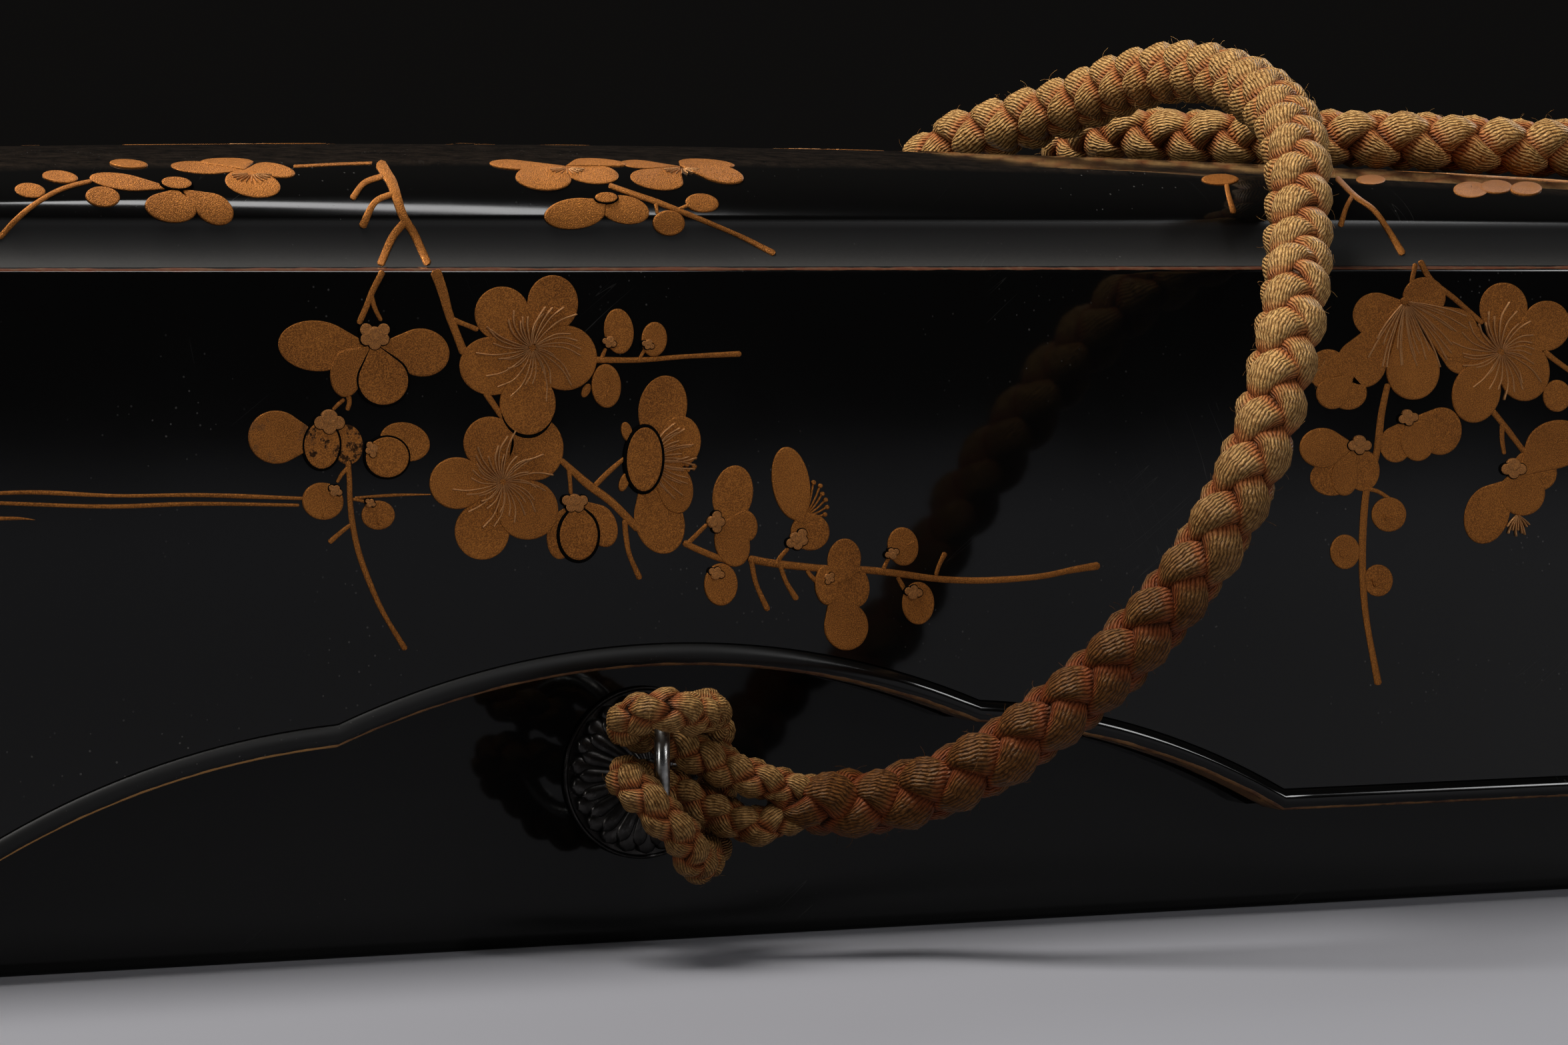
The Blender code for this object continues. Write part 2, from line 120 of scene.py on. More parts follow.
# %% Route of the cord
CORD_DIAMETER = 7.5 * MM
EYE_DIAMETER = 4.2 * MM
CORD_ROUTE = [
    (0.0059, -0.0573, 0.0159), (0.0106, -0.0586, 0.0157), (0.0150, -0.0593, 0.0156),
    (0.0190, -0.0610, 0.0162), (0.0226, -0.0643, 0.0179), (0.0262, -0.0673, 0.0203),
    (0.0302, -0.0696, 0.0235), (0.0369, -0.0715, 0.0290), (0.0431, -0.0735, 0.0358),
    (0.0479, -0.0745, 0.0425), (0.0519, -0.0738, 0.0485), (0.0555, -0.0720, 0.0539),
    (0.0600, -0.0678, 0.0612), (0.0646, -0.0618, 0.0676), (0.0686, -0.0556, 0.0716),
    (0.0716, -0.0506, 0.0760), (0.0752, -0.0438, 0.0815), (0.0795, -0.0334, 0.0866),
    (0.0826, -0.0190, 0.0905), (0.0833, -0.0050, 0.0924), (0.0832, 0.0080, 0.0917),
    (0.0822, 0.0210, 0.0892), (0.0794, 0.0320, 0.0870), (0.0756, 0.0415, 0.0843),
    (0.0733, 0.0482, 0.0783), (0.0707, 0.0505, 0.0695), (0.0682, 0.0503, 0.0580),
    (0.0729, 0.0503, 0.0467), (0.0840, 0.0503, 0.0420), (0.0951, 0.0503, 0.0467),
    (0.0998, 0.0503, 0.0580), (0.0984, 0.0503, 0.0660), (0.0958, 0.0496, 0.0732),
    (0.0936, 0.0466, 0.0797), (0.0925, 0.0409, 0.0840), (0.0941, 0.0325, 0.0857),
    (0.0999, 0.0220, 0.0853), (0.1052, 0.0150, 0.0853), (0.1109, 0.0093, 0.0852),
    (0.1177, 0.0050, 0.0849), (0.1251, 0.0020, 0.0845), (0.1332, 0.0000, 0.0841),
    (0.1402, -0.0012, 0.0840), (0.1473, -0.0014, 0.0828), (0.1533, -0.0006, 0.0788),
    (0.1567, 0.0016, 0.0722), (0.1572, 0.0050, 0.0620), (0.1570, 0.0100, 0.0500),
    (0.1574, 0.0170, 0.0375), (0.1586, 0.0255, 0.0255), (0.1600, 0.0355, 0.0145),
    (0.1593, 0.0465, 0.0068), (0.1540, 0.0565, 0.0043), (0.1450, 0.0630, 0.0040),
    (0.1330, 0.0665, 0.0040), (0.1180, 0.0675, 0.0040), (0.1000, 0.0660, 0.0040),
    (0.0820, 0.0645, 0.0040), (0.0640, 0.0650, 0.0040), (0.0460, 0.0656, 0.0040),
    (0.0350, 0.0642, 0.0052), (0.0272, 0.0624, 0.0086), (0.0205, 0.0607, 0.0132),
    (0.0150, 0.0593, 0.0154), (0.0106, 0.0586, 0.0158), (0.0059, 0.0573, 0.0159),
]
# The hitched eye: across the ring, outwards from its outermost point, height
EYE_ROUTE = [
    (0.0097, -0.0047, 0.0182), (0.0070, -0.0048, 0.0192), (0.0036, -0.0047, 0.0207),
    (0.0006, -0.0042, 0.0223), (-0.0022, -0.0032, 0.0232), (-0.0036, -0.0008, 0.0240),
    (-0.0029, 0.0018, 0.0252), (-0.0006, 0.0032, 0.0260), (0.0017, 0.0026, 0.0259),
    (0.0033, 0.0004, 0.0253), (0.0042, -0.0026, 0.0254), (0.0047, -0.0060, 0.0250),
    (0.0050, -0.0091, 0.0226), (0.0052, -0.0099, 0.0190), (0.0052, -0.0098, 0.0150),
    (0.0049, -0.0087, 0.0126), (0.0044, -0.0058, 0.0104), (0.0037, -0.0026, 0.0101),
    (0.0029, 0.0004, 0.0112), (0.0020, 0.0025, 0.0134), (0.0006, 0.0035, 0.0148),
    (-0.0012, 0.0034, 0.0168), (-0.0029, 0.0019, 0.0182), (-0.0036, -0.0008, 0.0189),
    (-0.0026, -0.0033, 0.0184), (0.0004, -0.0046, 0.0176), (0.0036, -0.0048, 0.0159),
    (0.0070, -0.0049, 0.0142), (0.0097, -0.0048, 0.0136),
]


def smooth_line(points, step):
    """Evenly spaced points on a smooth curve through the given ones."""
    knots = np.array([tuple(p) for p in points], float)
    ends = np.vstack([2 * knots[0] - knots[1], knots, 2 * knots[-1] - knots[-2]])
    t = np.linspace(0, 1, 24, endpoint=False)[:, None]
    fine = []
    for a, b, c, d in zip(ends[:-3], ends[1:-2], ends[2:-1], ends[3:]):
        curve = 2 * b + (c - a) * t + (2 * a - 5 * b + 4 * c - d) * t ** 2
        fine.append(0.5 * (curve + (3 * b - a - 3 * c + d) * t ** 3))
    fine = np.vstack([*fine, knots[-1:]])
    far = np.concatenate([[0.0], np.cumsum(np.linalg.norm(np.diff(fine, axis=0), axis=1))])
    count = max(2, round(far[-1] / step))
    want = np.linspace(0, far[-1], count + 1)
    even = np.column_stack([np.interp(want, far, fine[:, k]) for k in range(fine.shape[1])])
    return even, far[-1]


print("cord length:", round(smooth_line(CORD_ROUTE, 4 * MM)[1], 3), "m")

# %% [markdown]
# ## Shared finishing effects
# Old lacquer carries dust, faint scratches and rubbed spots, and so does the metal on it. Each effect is a
# small node group that gives only a mask or a height, so that every material can use it with its own
# strength and keep its own shader.

# %% Helpers for node trees
def plug(tree, value, slot):
    """Fills an input with a number, a colour or another node's output."""
    if isinstance(value, Value):
        tree.links.new(value.socket, slot)
    elif slot.type == "RGBA":
        slot.default_value = (*value, 1.0)
    else:
        slot.default_value = value


class Value:
    """A node's output that is added, multiplied and compared like a number, with a Math node each time."""

    def __init__(self, tree, socket):
        self.tree = tree
        self.socket = socket

    def math(self, operation, first, second=None):
        node = self.tree.nodes.new("ShaderNodeMath")
        node.operation = operation
        for slot, value in zip(node.inputs, (first, second)):
            if value is not None:
                plug(self.tree, value, slot)
        return Value(self.tree, node.outputs[0])

    def __add__(self, other):
        return self.math("ADD", self, other)

    def __sub__(self, other):
        return self.math("SUBTRACT", self, other)

    def __rsub__(self, other):
        return self.math("SUBTRACT", other, self)

    def __mul__(self, other):
        return self.math("MULTIPLY", self, other)

    def __truediv__(self, other):
        return self.math("DIVIDE", self, other)

    def __lt__(self, other):
        return self.math("LESS_THAN", self, other)

    def __gt__(self, other):
        return self.math("GREATER_THAN", self, other)

    def __abs__(self):
        return self.math("ABSOLUTE", self)

    def wave(self):
        """Humps between 0 and 1, one for each whole step of the value."""
        return abs(self.math("SINE", self * math.pi))

    def most(self, other):
        """The larger of two values."""
        return self.math("MAXIMUM", self, other)

    def clipped(self):
        """The same value held between 0 and 1."""
        self.socket.node.use_clamp = True
        return self

    def ramp(self, low, high):
        """Stretches the value between low and high to 0 and 1, and clips it."""
        return Graph(self.tree).get("Result", "ShaderNodeMapRange", Value=self, From_Min=low, From_Max=high)


class Graph:
    """A node tree with short ways to add nodes. In an input's name an underscore stands for a space."""

    def __init__(self, tree):
        self.tree = tree

    def add(self, kind, settings=(), **inputs):
        """Adds a node with the given properties and inputs."""
        made = self.tree.nodes.new(kind)
        for key, value in settings:
            setattr(made, key, value)
        self.fill(made, **inputs)
        return made

    def fill(self, node, **inputs):
        for key, value in inputs.items():
            plug(self.tree, value, node.inputs[key.replace("_", " ")])

    def out(self, node, name):
        return Value(self.tree, node.outputs[name])

    def get(self, output, kind, settings=(), **inputs):
        """Adds a node and gives one of its outputs."""
        return self.out(self.add(kind, settings, **inputs), output)

    def split(self, vector):
        """The X, Y and Z of a vector."""
        node = self.add("ShaderNodeSeparateXYZ", Vector=vector)
        return [self.out(node, axis) for axis in "XYZ"]

    def noise(self, place, scale, detail=2.0, roughness=0.5):
        return self.get("Fac", "ShaderNodeTexNoise", Vector=place, Scale=scale, Detail=detail,
                        Roughness=roughness)

    def attribute(self, name):
        return self.get("Fac", "ShaderNodeAttribute", [("attribute_name", name)])

    def effect(self, group, place, **inputs):
        """Places a shared effect, fed by a position."""
        return self.add("ShaderNodeGroup", [("node_tree", group)], Position=place, **inputs)

    def mix(self, share, first, second):
        """Mixes two colours by a mask."""
        node = self.add("ShaderNodeMix", [("data_type", "RGBA")], Factor=share)
        for key, value in (("A", first), ("B", second)):
            plug(self.tree, value, next(s for s in node.inputs if s.name == key and s.type == "RGBA"))
        return Value(self.tree, next(s for s in node.outputs if s.type == "RGBA"))

    def bump(self, height, distance, strength=1.0):
        return self.get("Normal", "ShaderNodeBump", Height=height, Distance=distance, Strength=strength)

    def finish(self, **inputs):
        """Fills inputs of a material's Principled shader."""
        self.fill(self.tree.nodes["Principled BSDF"], **inputs)


def start_effect(name, inputs, outputs):
    """A shader group that is fed by a position and some numbers, and its two ends."""
    tree = bpy.data.node_groups.new(name, "ShaderNodeTree")
    tree.interface.new_socket("Position", in_out="INPUT", socket_type="NodeSocketVector")
    for label, value in inputs.items():
        socket = tree.interface.new_socket(label, in_out="INPUT", socket_type="NodeSocketFloat")
        socket.default_value = value
    for label in outputs:
        tree.interface.new_socket(label, in_out="OUTPUT", socket_type="NodeSocketFloat")
    graph = Graph(tree)
    start = graph.add("NodeGroupInput")
    return graph, [graph.out(start, label) for label in ("Position", *inputs)]


def new_material(name):
    """A material, its node tree and the position on the object."""
    made = bpy.data.materials.new(name)
    made.use_nodes = True
    graph = Graph(made.node_tree)
    return made, graph, graph.get("Object", "ShaderNodeTexCoord")


print("node helpers ready")

# %% Dust, scratches and metal powder
def dust_group():
    """Loose specks of dust that gather where a broad noise is high, and a thin veil."""
    graph, (place, cell, amount) = start_effect(
        "settled_dust", {"Cell": 900.0, "Amount": 0.3}, ("Mask", "Film"))
    cells = graph.add("ShaderNodeTexVoronoi", Vector=place, Scale=cell)
    size = graph.out(cells, "Color") * 0.20 * amount
    patches = graph.noise(place, 70.0, 5.0).ramp(0.52, 0.72)
    veil = graph.noise(place, 420.0, 8.0, 0.8).ramp(0.35, 0.8) * amount
    graph.add("NodeGroupOutput", Mask=(graph.out(cells, "Distance") < size) * patches, Film=veil)
    return graph.tree


def scratch_group():
    """Hairline scratches: thin level lines of two stretched noises."""
    graph, (place, density) = start_effect("hairline_scratches", {"Density": 1.0}, ("Mask",))
    lines = []
    for turn, stretch in ((1.15, 34.0), (-0.65, 42.0)):
        turned = graph.get("Vector", "ShaderNodeMapping", [("vector_type", "TEXTURE")], Vector=place,
                           Rotation=(0.0, turn, 0.0), Scale=(1.0, 1.0, 1.0 / stretch))
        thin = abs(graph.noise(turned, 16.0, 1.0) - 0.5) < 0.0022
        lines.append(thin * graph.noise(place, 20.0 + stretch, 1.0).ramp(0.66, 0.76))
    graph.add("NodeGroupOutput", Mask=lines[0].most(lines[1]) * density)
    return graph.tree


def powder_group():
    """Sprinkled metal powder: bright and dull grains over a slow change of tone."""
    graph, (place, grain) = start_effect("sprinkled_powder", {"Grain": 5200.0}, ("Tone", "Height"))
    grains = graph.noise(place, grain, 3.0).ramp(0.40, 0.62)
    slow = graph.noise(place, 110.0, 3.0)
    graph.add("NodeGroupOutput", Tone=grains * 0.5 + slow * 0.5, Height=grains)
    return graph.tree


DUST = dust_group()
SCRATCHES = scratch_group()
POWDER = powder_group()
print("groups:", DUST.name, SCRATCHES.name, POWDER.name)

# %% [markdown]
# ## Materials
# Black lacquer is a nearly black, very smooth coat: what is seen on it is mostly what it reflects. The
# gold is powder sprinkled on wet lacquer, so it is a rough metal with grain. The arris and the lid's lower
# edge are rubbed through to brown and gold, which depends on the place, so those colours are masks on
# height and on an attribute that the lid's mesh carries.

# %% Lacquer
LACQUER_BLACK = (0.0034, 0.0033, 0.0032)
DUST_AND_SHEEN_GREY = (0.30, 0.29, 0.27)
DOME_DUST = (0.30, 0.20, 0.135)
WORN_BROWN = (0.085, 0.030, 0.017)
WORN_TAN = (0.10, 0.058, 0.033)
EDGE_BROWN = (0.11, 0.05, 0.028)
EDGE_GOLD = (0.46, 0.235, 0.08)
ARRIS_HEIGHT = 70.0 * MM
COVE_HEIGHT = 4.4 * MM
BEAD_HEIGHT = 2.4 * MM


def lacquer_base(name, shine):
    """Black lacquer with dust and scratches, before any worn edge, with its colour and roughness."""
    made, graph, place = new_material(name)
    dust = graph.effect(DUST, place, Cell=1100.0, Amount=0.7)
    lines = graph.effect(SCRATCHES, place, Density=0.07)
    marks = (graph.out(dust, "Mask") * 0.25).most(graph.out(lines, "Mask"))
    smear = graph.noise(place, 26.0, 5.0, 0.6).ramp(0.35, 0.8)
    rough = (smear * 0.05 + 0.055 + marks * 0.4).clipped()
    waves = graph.bump(graph.noise(place, 34.0, 1.0), 0.00006)
    graph.finish(IOR=1.5, Specular_IOR_Level=shine, Normal=waves)
    return made, graph, place, graph.mix(marks, LACQUER_BLACK, DUST_AND_SHEEN_GREY), rough


def body_lacquer():
    """The body's plain lacquer."""
    made, graph, place, colour, rough = lacquer_base("black_lacquer_body", 0.16)
    graph.finish(Base_Color=colour, Roughness=rough)
    return made


def lid_lacquer():
    """The lid's lacquer: rubbed arris, gilt lower edge, dust facing up, dust and painted sheen in the hollow.
    """
    made, graph, place, colour, rough = lacquer_base("black_lacquer_lid", 0.26)
    across, _, height = graph.split(place)
    facing = graph.split(graph.get("Normal", "ShaderNodeNewGeometry"))[2]
    upward = facing.ramp(0.90, 1.0)
    on_dome = height.ramp(ARRIS_HEIGHT + 6.0 * MM, ARRIS_HEIGHT + 7.0 * MM)
    cove = height.ramp(ARRIS_HEIGHT + COVE_HEIGHT + 0.8 * MM, ARRIS_HEIGHT)
    cove = cove * (height > ARRIS_HEIGHT + 0.2 * MM)

    dust = graph.effect(DUST, place, Cell=1500.0, Amount=0.9)
    fine = graph.noise(place, 2400.0, 4.0, 0.7) * 0.9 + 0.1
    # The hollow's grey film grows towards the arris: it is partly dust and partly a painted reflection of the
    # light.
    dust_and_sheen = (graph.out(dust, "Film") * upward * on_dome * 0.12).most(cove * cove * cove * fine * 0.07)
    colour = graph.mix(dust_and_sheen, colour, graph.mix(on_dome, DUST_AND_SHEEN_GREY, DOME_DUST))
    colour = graph.mix(graph.out(dust, "Mask") * upward * 0.7, colour, DUST_AND_SHEEN_GREY)
    matte = (cove * 5.0).clipped() * 0.60
    rough = (rough + dust_and_sheen * 1.2 + matte).clipped()

    wobble = graph.noise(place, 240.0, 4.0) * (0.34 * MM)
    rubbed = abs(height - (ARRIS_HEIGHT - 0.05 * MM)) < wobble - 0.02 * MM
    brown = graph.mix(graph.noise(place, 900.0, 3.0).ramp(0.45, 0.75), WORN_BROWN, WORN_TAN)
    colour = graph.mix(rubbed, colour, brown)

    rise = graph.attribute("edge_rise")
    dull_bead = (rise < BEAD_HEIGHT) * across.ramp(26.0 * MM, 4.0 * MM)
    rough = (rough + dull_bead * 0.42).clipped()
    gilt = rise < graph.noise(place, 420.0, 3.0) * (0.30 * MM) + 0.16 * MM
    left_lobe = across.ramp(-34.0 * MM, -38.0 * MM)
    patchy = graph.noise(place, 300.0, 5.0, 0.7).ramp(0.40, 0.62)
    gold = graph.mix(left_lobe.most(patchy * 0.45), EDGE_BROWN, EDGE_GOLD)
    graph.finish(Base_Color=graph.mix(gilt, colour, gold), Roughness=rough)
    return made


LACQUER_LID = lid_lacquer()
LACQUER_BODY = body_lacquer()
print("materials:", LACQUER_LID.name, LACQUER_BODY.name)

# %% Gold, metals and silk
GOLD_DULL = (0.075, 0.020, 0.003)
GOLD_BRIGHT = (0.565, 0.208, 0.036)
GOLD_RUBBED = (0.88, 0.54, 0.26)
COPPER_DARK = (0.024, 0.022, 0.021)
COPPER_RUBBED = (0.055, 0.052, 0.049)
SILVER_BRIGHT = (0.40, 0.40, 0.39)
SILVER_TARNISHED = (0.13, 0.125, 0.115)


def gold_powder():
    """Raised gold. worn is below 0 where it is rubbed bright, above 0 in patches, and 2 where it is gone."""
    made, graph, place = new_material("gold_powder")
    powder = graph.effect(POWDER, place, Grain=9000.0)
    tone = graph.out(powder, "Tone")
    wear = graph.attribute("worn")
    gold = graph.mix(tone, GOLD_DULL, GOLD_BRIGHT)
    gold = graph.mix((wear * -1.0).clipped(), gold, GOLD_RUBBED)
    holes = graph.noise(place, 620.0, 6.0, 0.7).ramp(0.56, 0.60)
    lost = (holes * wear).clipped().most(wear > 1.5)
    graph.finish(Base_Color=graph.mix(lost, gold, LACQUER_BLACK), Metallic=(0.78 - lost).clipped(),
                 Specular_IOR_Level=0.5 - lost * 0.5, Roughness=tone * -0.12 + 0.54,
                 Normal=graph.bump(graph.out(powder, "Height"), 0.00004, 0.8))
    return made


def dark_copper():
    """The rosettes' dark patinated metal, brighter where it is rubbed."""
    made, graph, place = new_material("dark_copper")
    rubbed = graph.noise(place, 700.0, 5.0, 0.65).ramp(0.42, 0.72)
    graph.finish(Base_Color=graph.mix(rubbed, COPPER_DARK, COPPER_RUBBED), Metallic=0.85,
                 Roughness=0.36 - rubbed * 0.14,
                 Normal=graph.bump(graph.noise(place, 1500.0, 3.0), 0.00004, 0.5))
    return made


def ring_silver():
    """The ring's silvered wire, tarnished in patches."""
    made, graph, place = new_material("ring_silver")
    tarnish = graph.noise(place, 900.0, 4.0).ramp(0.40, 0.75)
    graph.finish(Base_Color=graph.mix(tarnish, SILVER_BRIGHT, SILVER_TARNISHED), Metallic=1.0,
                 Roughness=tarnish * 0.2 + 0.24)
    return made


GOLD = gold_powder()
COPPER = dark_copper()
SILVER = ring_silver()
print("materials:", GOLD.name, COPPER.name, SILVER.name)

# %% Braided silk
# Each pair is the colour low on the cord, where the silk keeps its deep dye and is in painted shade, and high
# on it, where it is faded and in painted light
SILK_CREST = ((0.138, 0.052, 0.012), (0.66, 0.395, 0.145))
# SILK_SHADE and the groove colours are painted shade between the plies and between the yarns
SILK_SHADE = ((0.040, 0.012, 0.003), (0.23, 0.105, 0.030))
SILK_GROOVE_SHADE = ((0.016, 0.005, 0.002), (0.095, 0.040, 0.012))
SILK_FOLD = ((0.17, 0.036, 0.010), (0.40, 0.120, 0.034))
FOLD_GROOVE_SHADE = (0.07, 0.012, 0.004)
# Painted shade, nearly black, deep in the hollows between the lobes
SILK_HOLLOW_SHADE = (0.020, 0.005, 0.002)


def braided_silk(name, yarns, plies, fade_and_light_from, fade_and_light_to):
    """Silk braid: lighter higher up (fading and painted light), orange in the folds, yarns along a strand."""
    made, graph, place = new_material(name)
    along, around, _ = graph.split(graph.get("UV", "ShaderNodeUVMap", [("uv_map", "strand")]))
    turns = around * yarns + along * (0.95 * yarns) + graph.noise(place, 480.0, 4.0) * 2.4
    yarn = turns.wave()
    ply = (along * plies + turns).wave()
    crest = graph.attribute("crest")
    # Painted light: the colour gets lighter with height, standing for the light from above as well as for the
    # faded dye.
    height = graph.split(place)[2] + graph.noise(place, 120.0, 4.0) * (26.0 * MM)
    faded_and_lit = height.ramp(fade_and_light_from, fade_and_light_to)
    # Painted shade: darker between the plies and in the grooves between the yarns, with a random tone of the
    # fibres.
    threads = graph.noise(place, 2100.0, 4.0, 0.75).ramp(0.38, 0.60) * ply.ramp(-0.6, 0.5)
    groove_shade = yarn.ramp(0.0, 0.62)
    tan = graph.mix(threads, graph.mix(faded_and_lit, *SILK_SHADE), graph.mix(faded_and_lit, *SILK_CREST))
    tan = graph.mix(groove_shade, graph.mix(faded_and_lit, *SILK_GROOVE_SHADE), tan)
    fold = graph.mix(groove_shade, FOLD_GROOVE_SHADE, graph.mix(faded_and_lit, *SILK_FOLD))
    colour = graph.mix(crest.ramp(0.78, 0.91), fold, tan)
    # Painted shade: the deep hollows between the lobes are made nearly black.
    colour = graph.mix(crest.ramp(0.70, 0.81), SILK_HOLLOW_SHADE, colour)
    graph.finish(Base_Color=colour, Roughness=0.48, Specular_Tint=(1.0, 0.70, 0.38), Specular_IOR_Level=0.20,
                 Normal=graph.bump(yarn + ply * 0.35, 0.00020, 0.9))
    return made


SILK = braided_silk("braided_silk", 30.0, 26.0, 46.0 * MM, 80.0 * MM)
EYE_SILK = braided_silk("eye_silk", 24.0, 18.0, -6.0 * MM, 78.0 * MM)
print("materials:", SILK.name, EYE_SILK.name)

# %% [markdown]
# ## The lid
# The real lid is thin wood under many coats, so every edge is soft: a bead along its cut lower edge, a
# crisp arris, a hollow above it and a round shoulder that runs into the dome. The mesh is one closed
# shell of rows: each row is the box's rounded outline at an inward offset, with a height for every
# column. The solids use the same rows, only fewer.

# %% Sizes of the lid and the body
lid_low, lid_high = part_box("lid")
_, body_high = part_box("box_body")
BEAD_PROUD = 0.45 * MM
BEAD_INSET = 0.5 * MM
LID_HALF_LENGTH = lid_high.x - BEAD_PROUD
LID_HALF_WIDTH = lid_high.y - BEAD_PROUD
LID_CORNER = 6.0 * MM
LID_WALL = 5.0 * MM
LID_TOP = 5.5 * MM
INNER_CORNER = 1.0 * MM
EDGE_HEIGHT = lid_low.z
CREST_HEIGHT = lid_high.z
LENGTH_CROWN = 0.186
WIDTH_CROWN = 1.8
COVE_DEPTH = 4.0 * MM
SHOULDER_DEPTH = 6.5 * MM
CUT_HALF = 73.0 * MM
CUSP_HALF = 36.0 * MM
CUSP_HEIGHT = 22.1 * MM
CUT_PEAK = 29.2 * MM
LOBE_RADIUS = 89.0 * MM
BODY_HALF_LENGTH = body_high.x
BODY_HALF_WIDTH = body_high.y
BODY_CORNER = 4.5 * MM
RIM_HEIGHT = body_high.z
SEAT_HEIGHT = RIM_HEIGHT + 0.3 * MM
ROOT_HEIGHT = ARRIS_HEIGHT + COVE_HEIGHT
BROW_OFFSET = COVE_DEPTH + SHOULDER_DEPTH
print("lid:", round(2000 * LID_HALF_LENGTH), "by", round(2000 * LID_HALF_WIDTH), "mm")

# %% Outline and heights
COLUMNS = {"flat": 20, "lobe": 18, "arch": 36, "end": 20, "corner": 8}


def spaced(start, end, steps):
    """Even steps from start up to, but not onto, end."""
    return [start + (end - start) * i / steps for i in range(steps)]


def lid_columns():
    """Shares of the straight length where the lid's columns stand, with one on each cusp and corner."""
    straight = LID_HALF_LENGTH - LID_CORNER
    marks = [
        (-straight, -CUT_HALF, COLUMNS["flat"]), (-CUT_HALF, -CUSP_HALF, COLUMNS["lobe"]),
        (-CUSP_HALF, CUSP_HALF, COLUMNS["arch"]), (CUSP_HALF, CUT_HALF, COLUMNS["lobe"]),
        (CUT_HALF, straight, COLUMNS["flat"]),
    ]
    stations = [x for start, end, steps in marks for x in spaced(start, end, steps)] + [straight]
    return [x / straight for x in stations]


def arc_between(centre_x, centre_y, radius, start):
    """The inner points of a quarter circle."""
    turns = spaced(start, start + math.pi / 2, COLUMNS["corner"])[1:]
    return [(centre_x + radius * math.cos(a), centre_y + radius * math.sin(a)) for a in turns]


def outline(half_length, half_width, radius, shares):
    """A rounded rectangle, anticlockwise from its front left."""
    straight, across, end = half_length - radius, half_width - radius, COLUMNS["end"]
    points = [(share * straight, -half_width) for share in shares]
    points += arc_between(straight, -across, radius, -math.pi / 2)
    points += [(half_length, y) for y in spaced(-across, across, end)] + [(half_length, across)]
    points += arc_between(straight, across, radius, 0.0)
    points += [(share * straight, half_width) for share in reversed(shares)]
    points += arc_between(-straight, across, radius, math.pi / 2)
    points += [(-half_length, y) for y in spaced(across, -across, end)] + [(-half_length, -across)]
    points += arc_between(-straight, -across, radius, math.pi)
    return points


def lobe_height(x):
    """Height of the convex lobe between a cusp and a lower corner."""
    near, far = Vector((CUSP_HALF, CUSP_HEIGHT)), Vector((CUT_HALF, EDGE_HEIGHT))
    chord = far - near
    down = Vector((chord.y, -chord.x)).normalized()
    centre = (near + far) / 2 + down * math.sqrt(LOBE_RADIUS ** 2 - (chord.length / 2) ** 2)
    return centre.y + math.sqrt(LOBE_RADIUS ** 2 - (x - centre.x) ** 2)


def cut_height(x):
    """Height of the lid's lower edge on a long side."""
    if abs(x) >= CUT_HALF:
        return EDGE_HEIGHT
    if abs(x) >= CUSP_HALF:
        return lobe_height(abs(x))
    rise = CUT_PEAK - CUSP_HEIGHT
    radius = (CUSP_HALF ** 2 + rise ** 2) / (2 * rise)
    return CUT_PEAK - radius + math.sqrt(radius ** 2 - x ** 2)


def dome_height(x, y):
    """Height of the domed top."""
    return CREST_HEIGHT - LENGTH_CROWN * x * x - WIDTH_CROWN * y * y


def top_profile(steps):
    """From the arris over the hollow and the shoulder: offset, share of the hollow, share of the shoulder."""
    turns = [math.pi / 2 * i / steps for i in range(steps + 1)]
    cove = [(COVE_DEPTH * math.sin(a), 1 - math.cos(a), 0.0) for a in turns]
    shoulder = [(COVE_DEPTH + SHOULDER_DEPTH * (1 - math.cos(a)), 1.0, math.sin(a)) for a in turns[1:]]
    return cove + shoulder


def profile_height(cove, shoulder, x, y):
    """Height of a point of that profile."""
    if shoulder == 0.0:
        return ARRIS_HEIGHT + COVE_HEIGHT * cove
    return ROOT_HEIGHT + shoulder * (dome_height(x, y) - ROOT_HEIGHT)


print("cut:", round(1000 * cut_height(0.0), 1), "mm high in the middle")

# %% Building shells from rows


def new_object(name, points, faces, finish=None, sharp=None, merge=None, recalc=True):
    """A smooth object at the origin, with its edges sharp from an angle on."""
    mesh = bpy.data.meshes.new(name)
    mesh.from_pydata(points, [], faces)
    if recalc:
        fix = bmesh.new()
        fix.from_mesh(mesh)
        if merge:
            bmesh.ops.remove_doubles(fix, verts=fix.verts, dist=merge)
        bmesh.ops.recalc_face_normals(fix, faces=fix.faces)
        fix.to_mesh(mesh)
        fix.free()
    mesh.shade_smooth()
    if sharp:
        mesh.set_sharp_from_angle(angle=math.radians(sharp))
    if finish:
        mesh.materials.append(finish)
    made = bpy.data.objects.new(name, mesh)
    scene.collection.objects.link(made)
    return made


def band(base, rows, count, across=True):
    """Faces between rows of count points each. across joins each row's last point to its first."""
    faces = []
    for r in range(rows - 1):
        for i in range(count if across else count - 1):
            j = (i + 1) % count
            a, b = base + r * count, base + (r + 1) * count
            faces.append((a + i, a + j, b + j, b + i))
    return faces


def shell(name, rows, columns, caps, finish):
    """A closed mesh of closed rows, whose two ends are grids with heights from the given functions."""
    count = len(rows[0])
    points = [p for row in rows for p in row]
    faces = band(0, len(rows), count)
    for base, height in ((0, caps[0]), ((len(rows) - 1) * count, caps[1])):
        close_grid(points, faces, base, count, columns, height)
    return new_object(name, points, faces, finish, sharp=40.0, merge=1e-6)


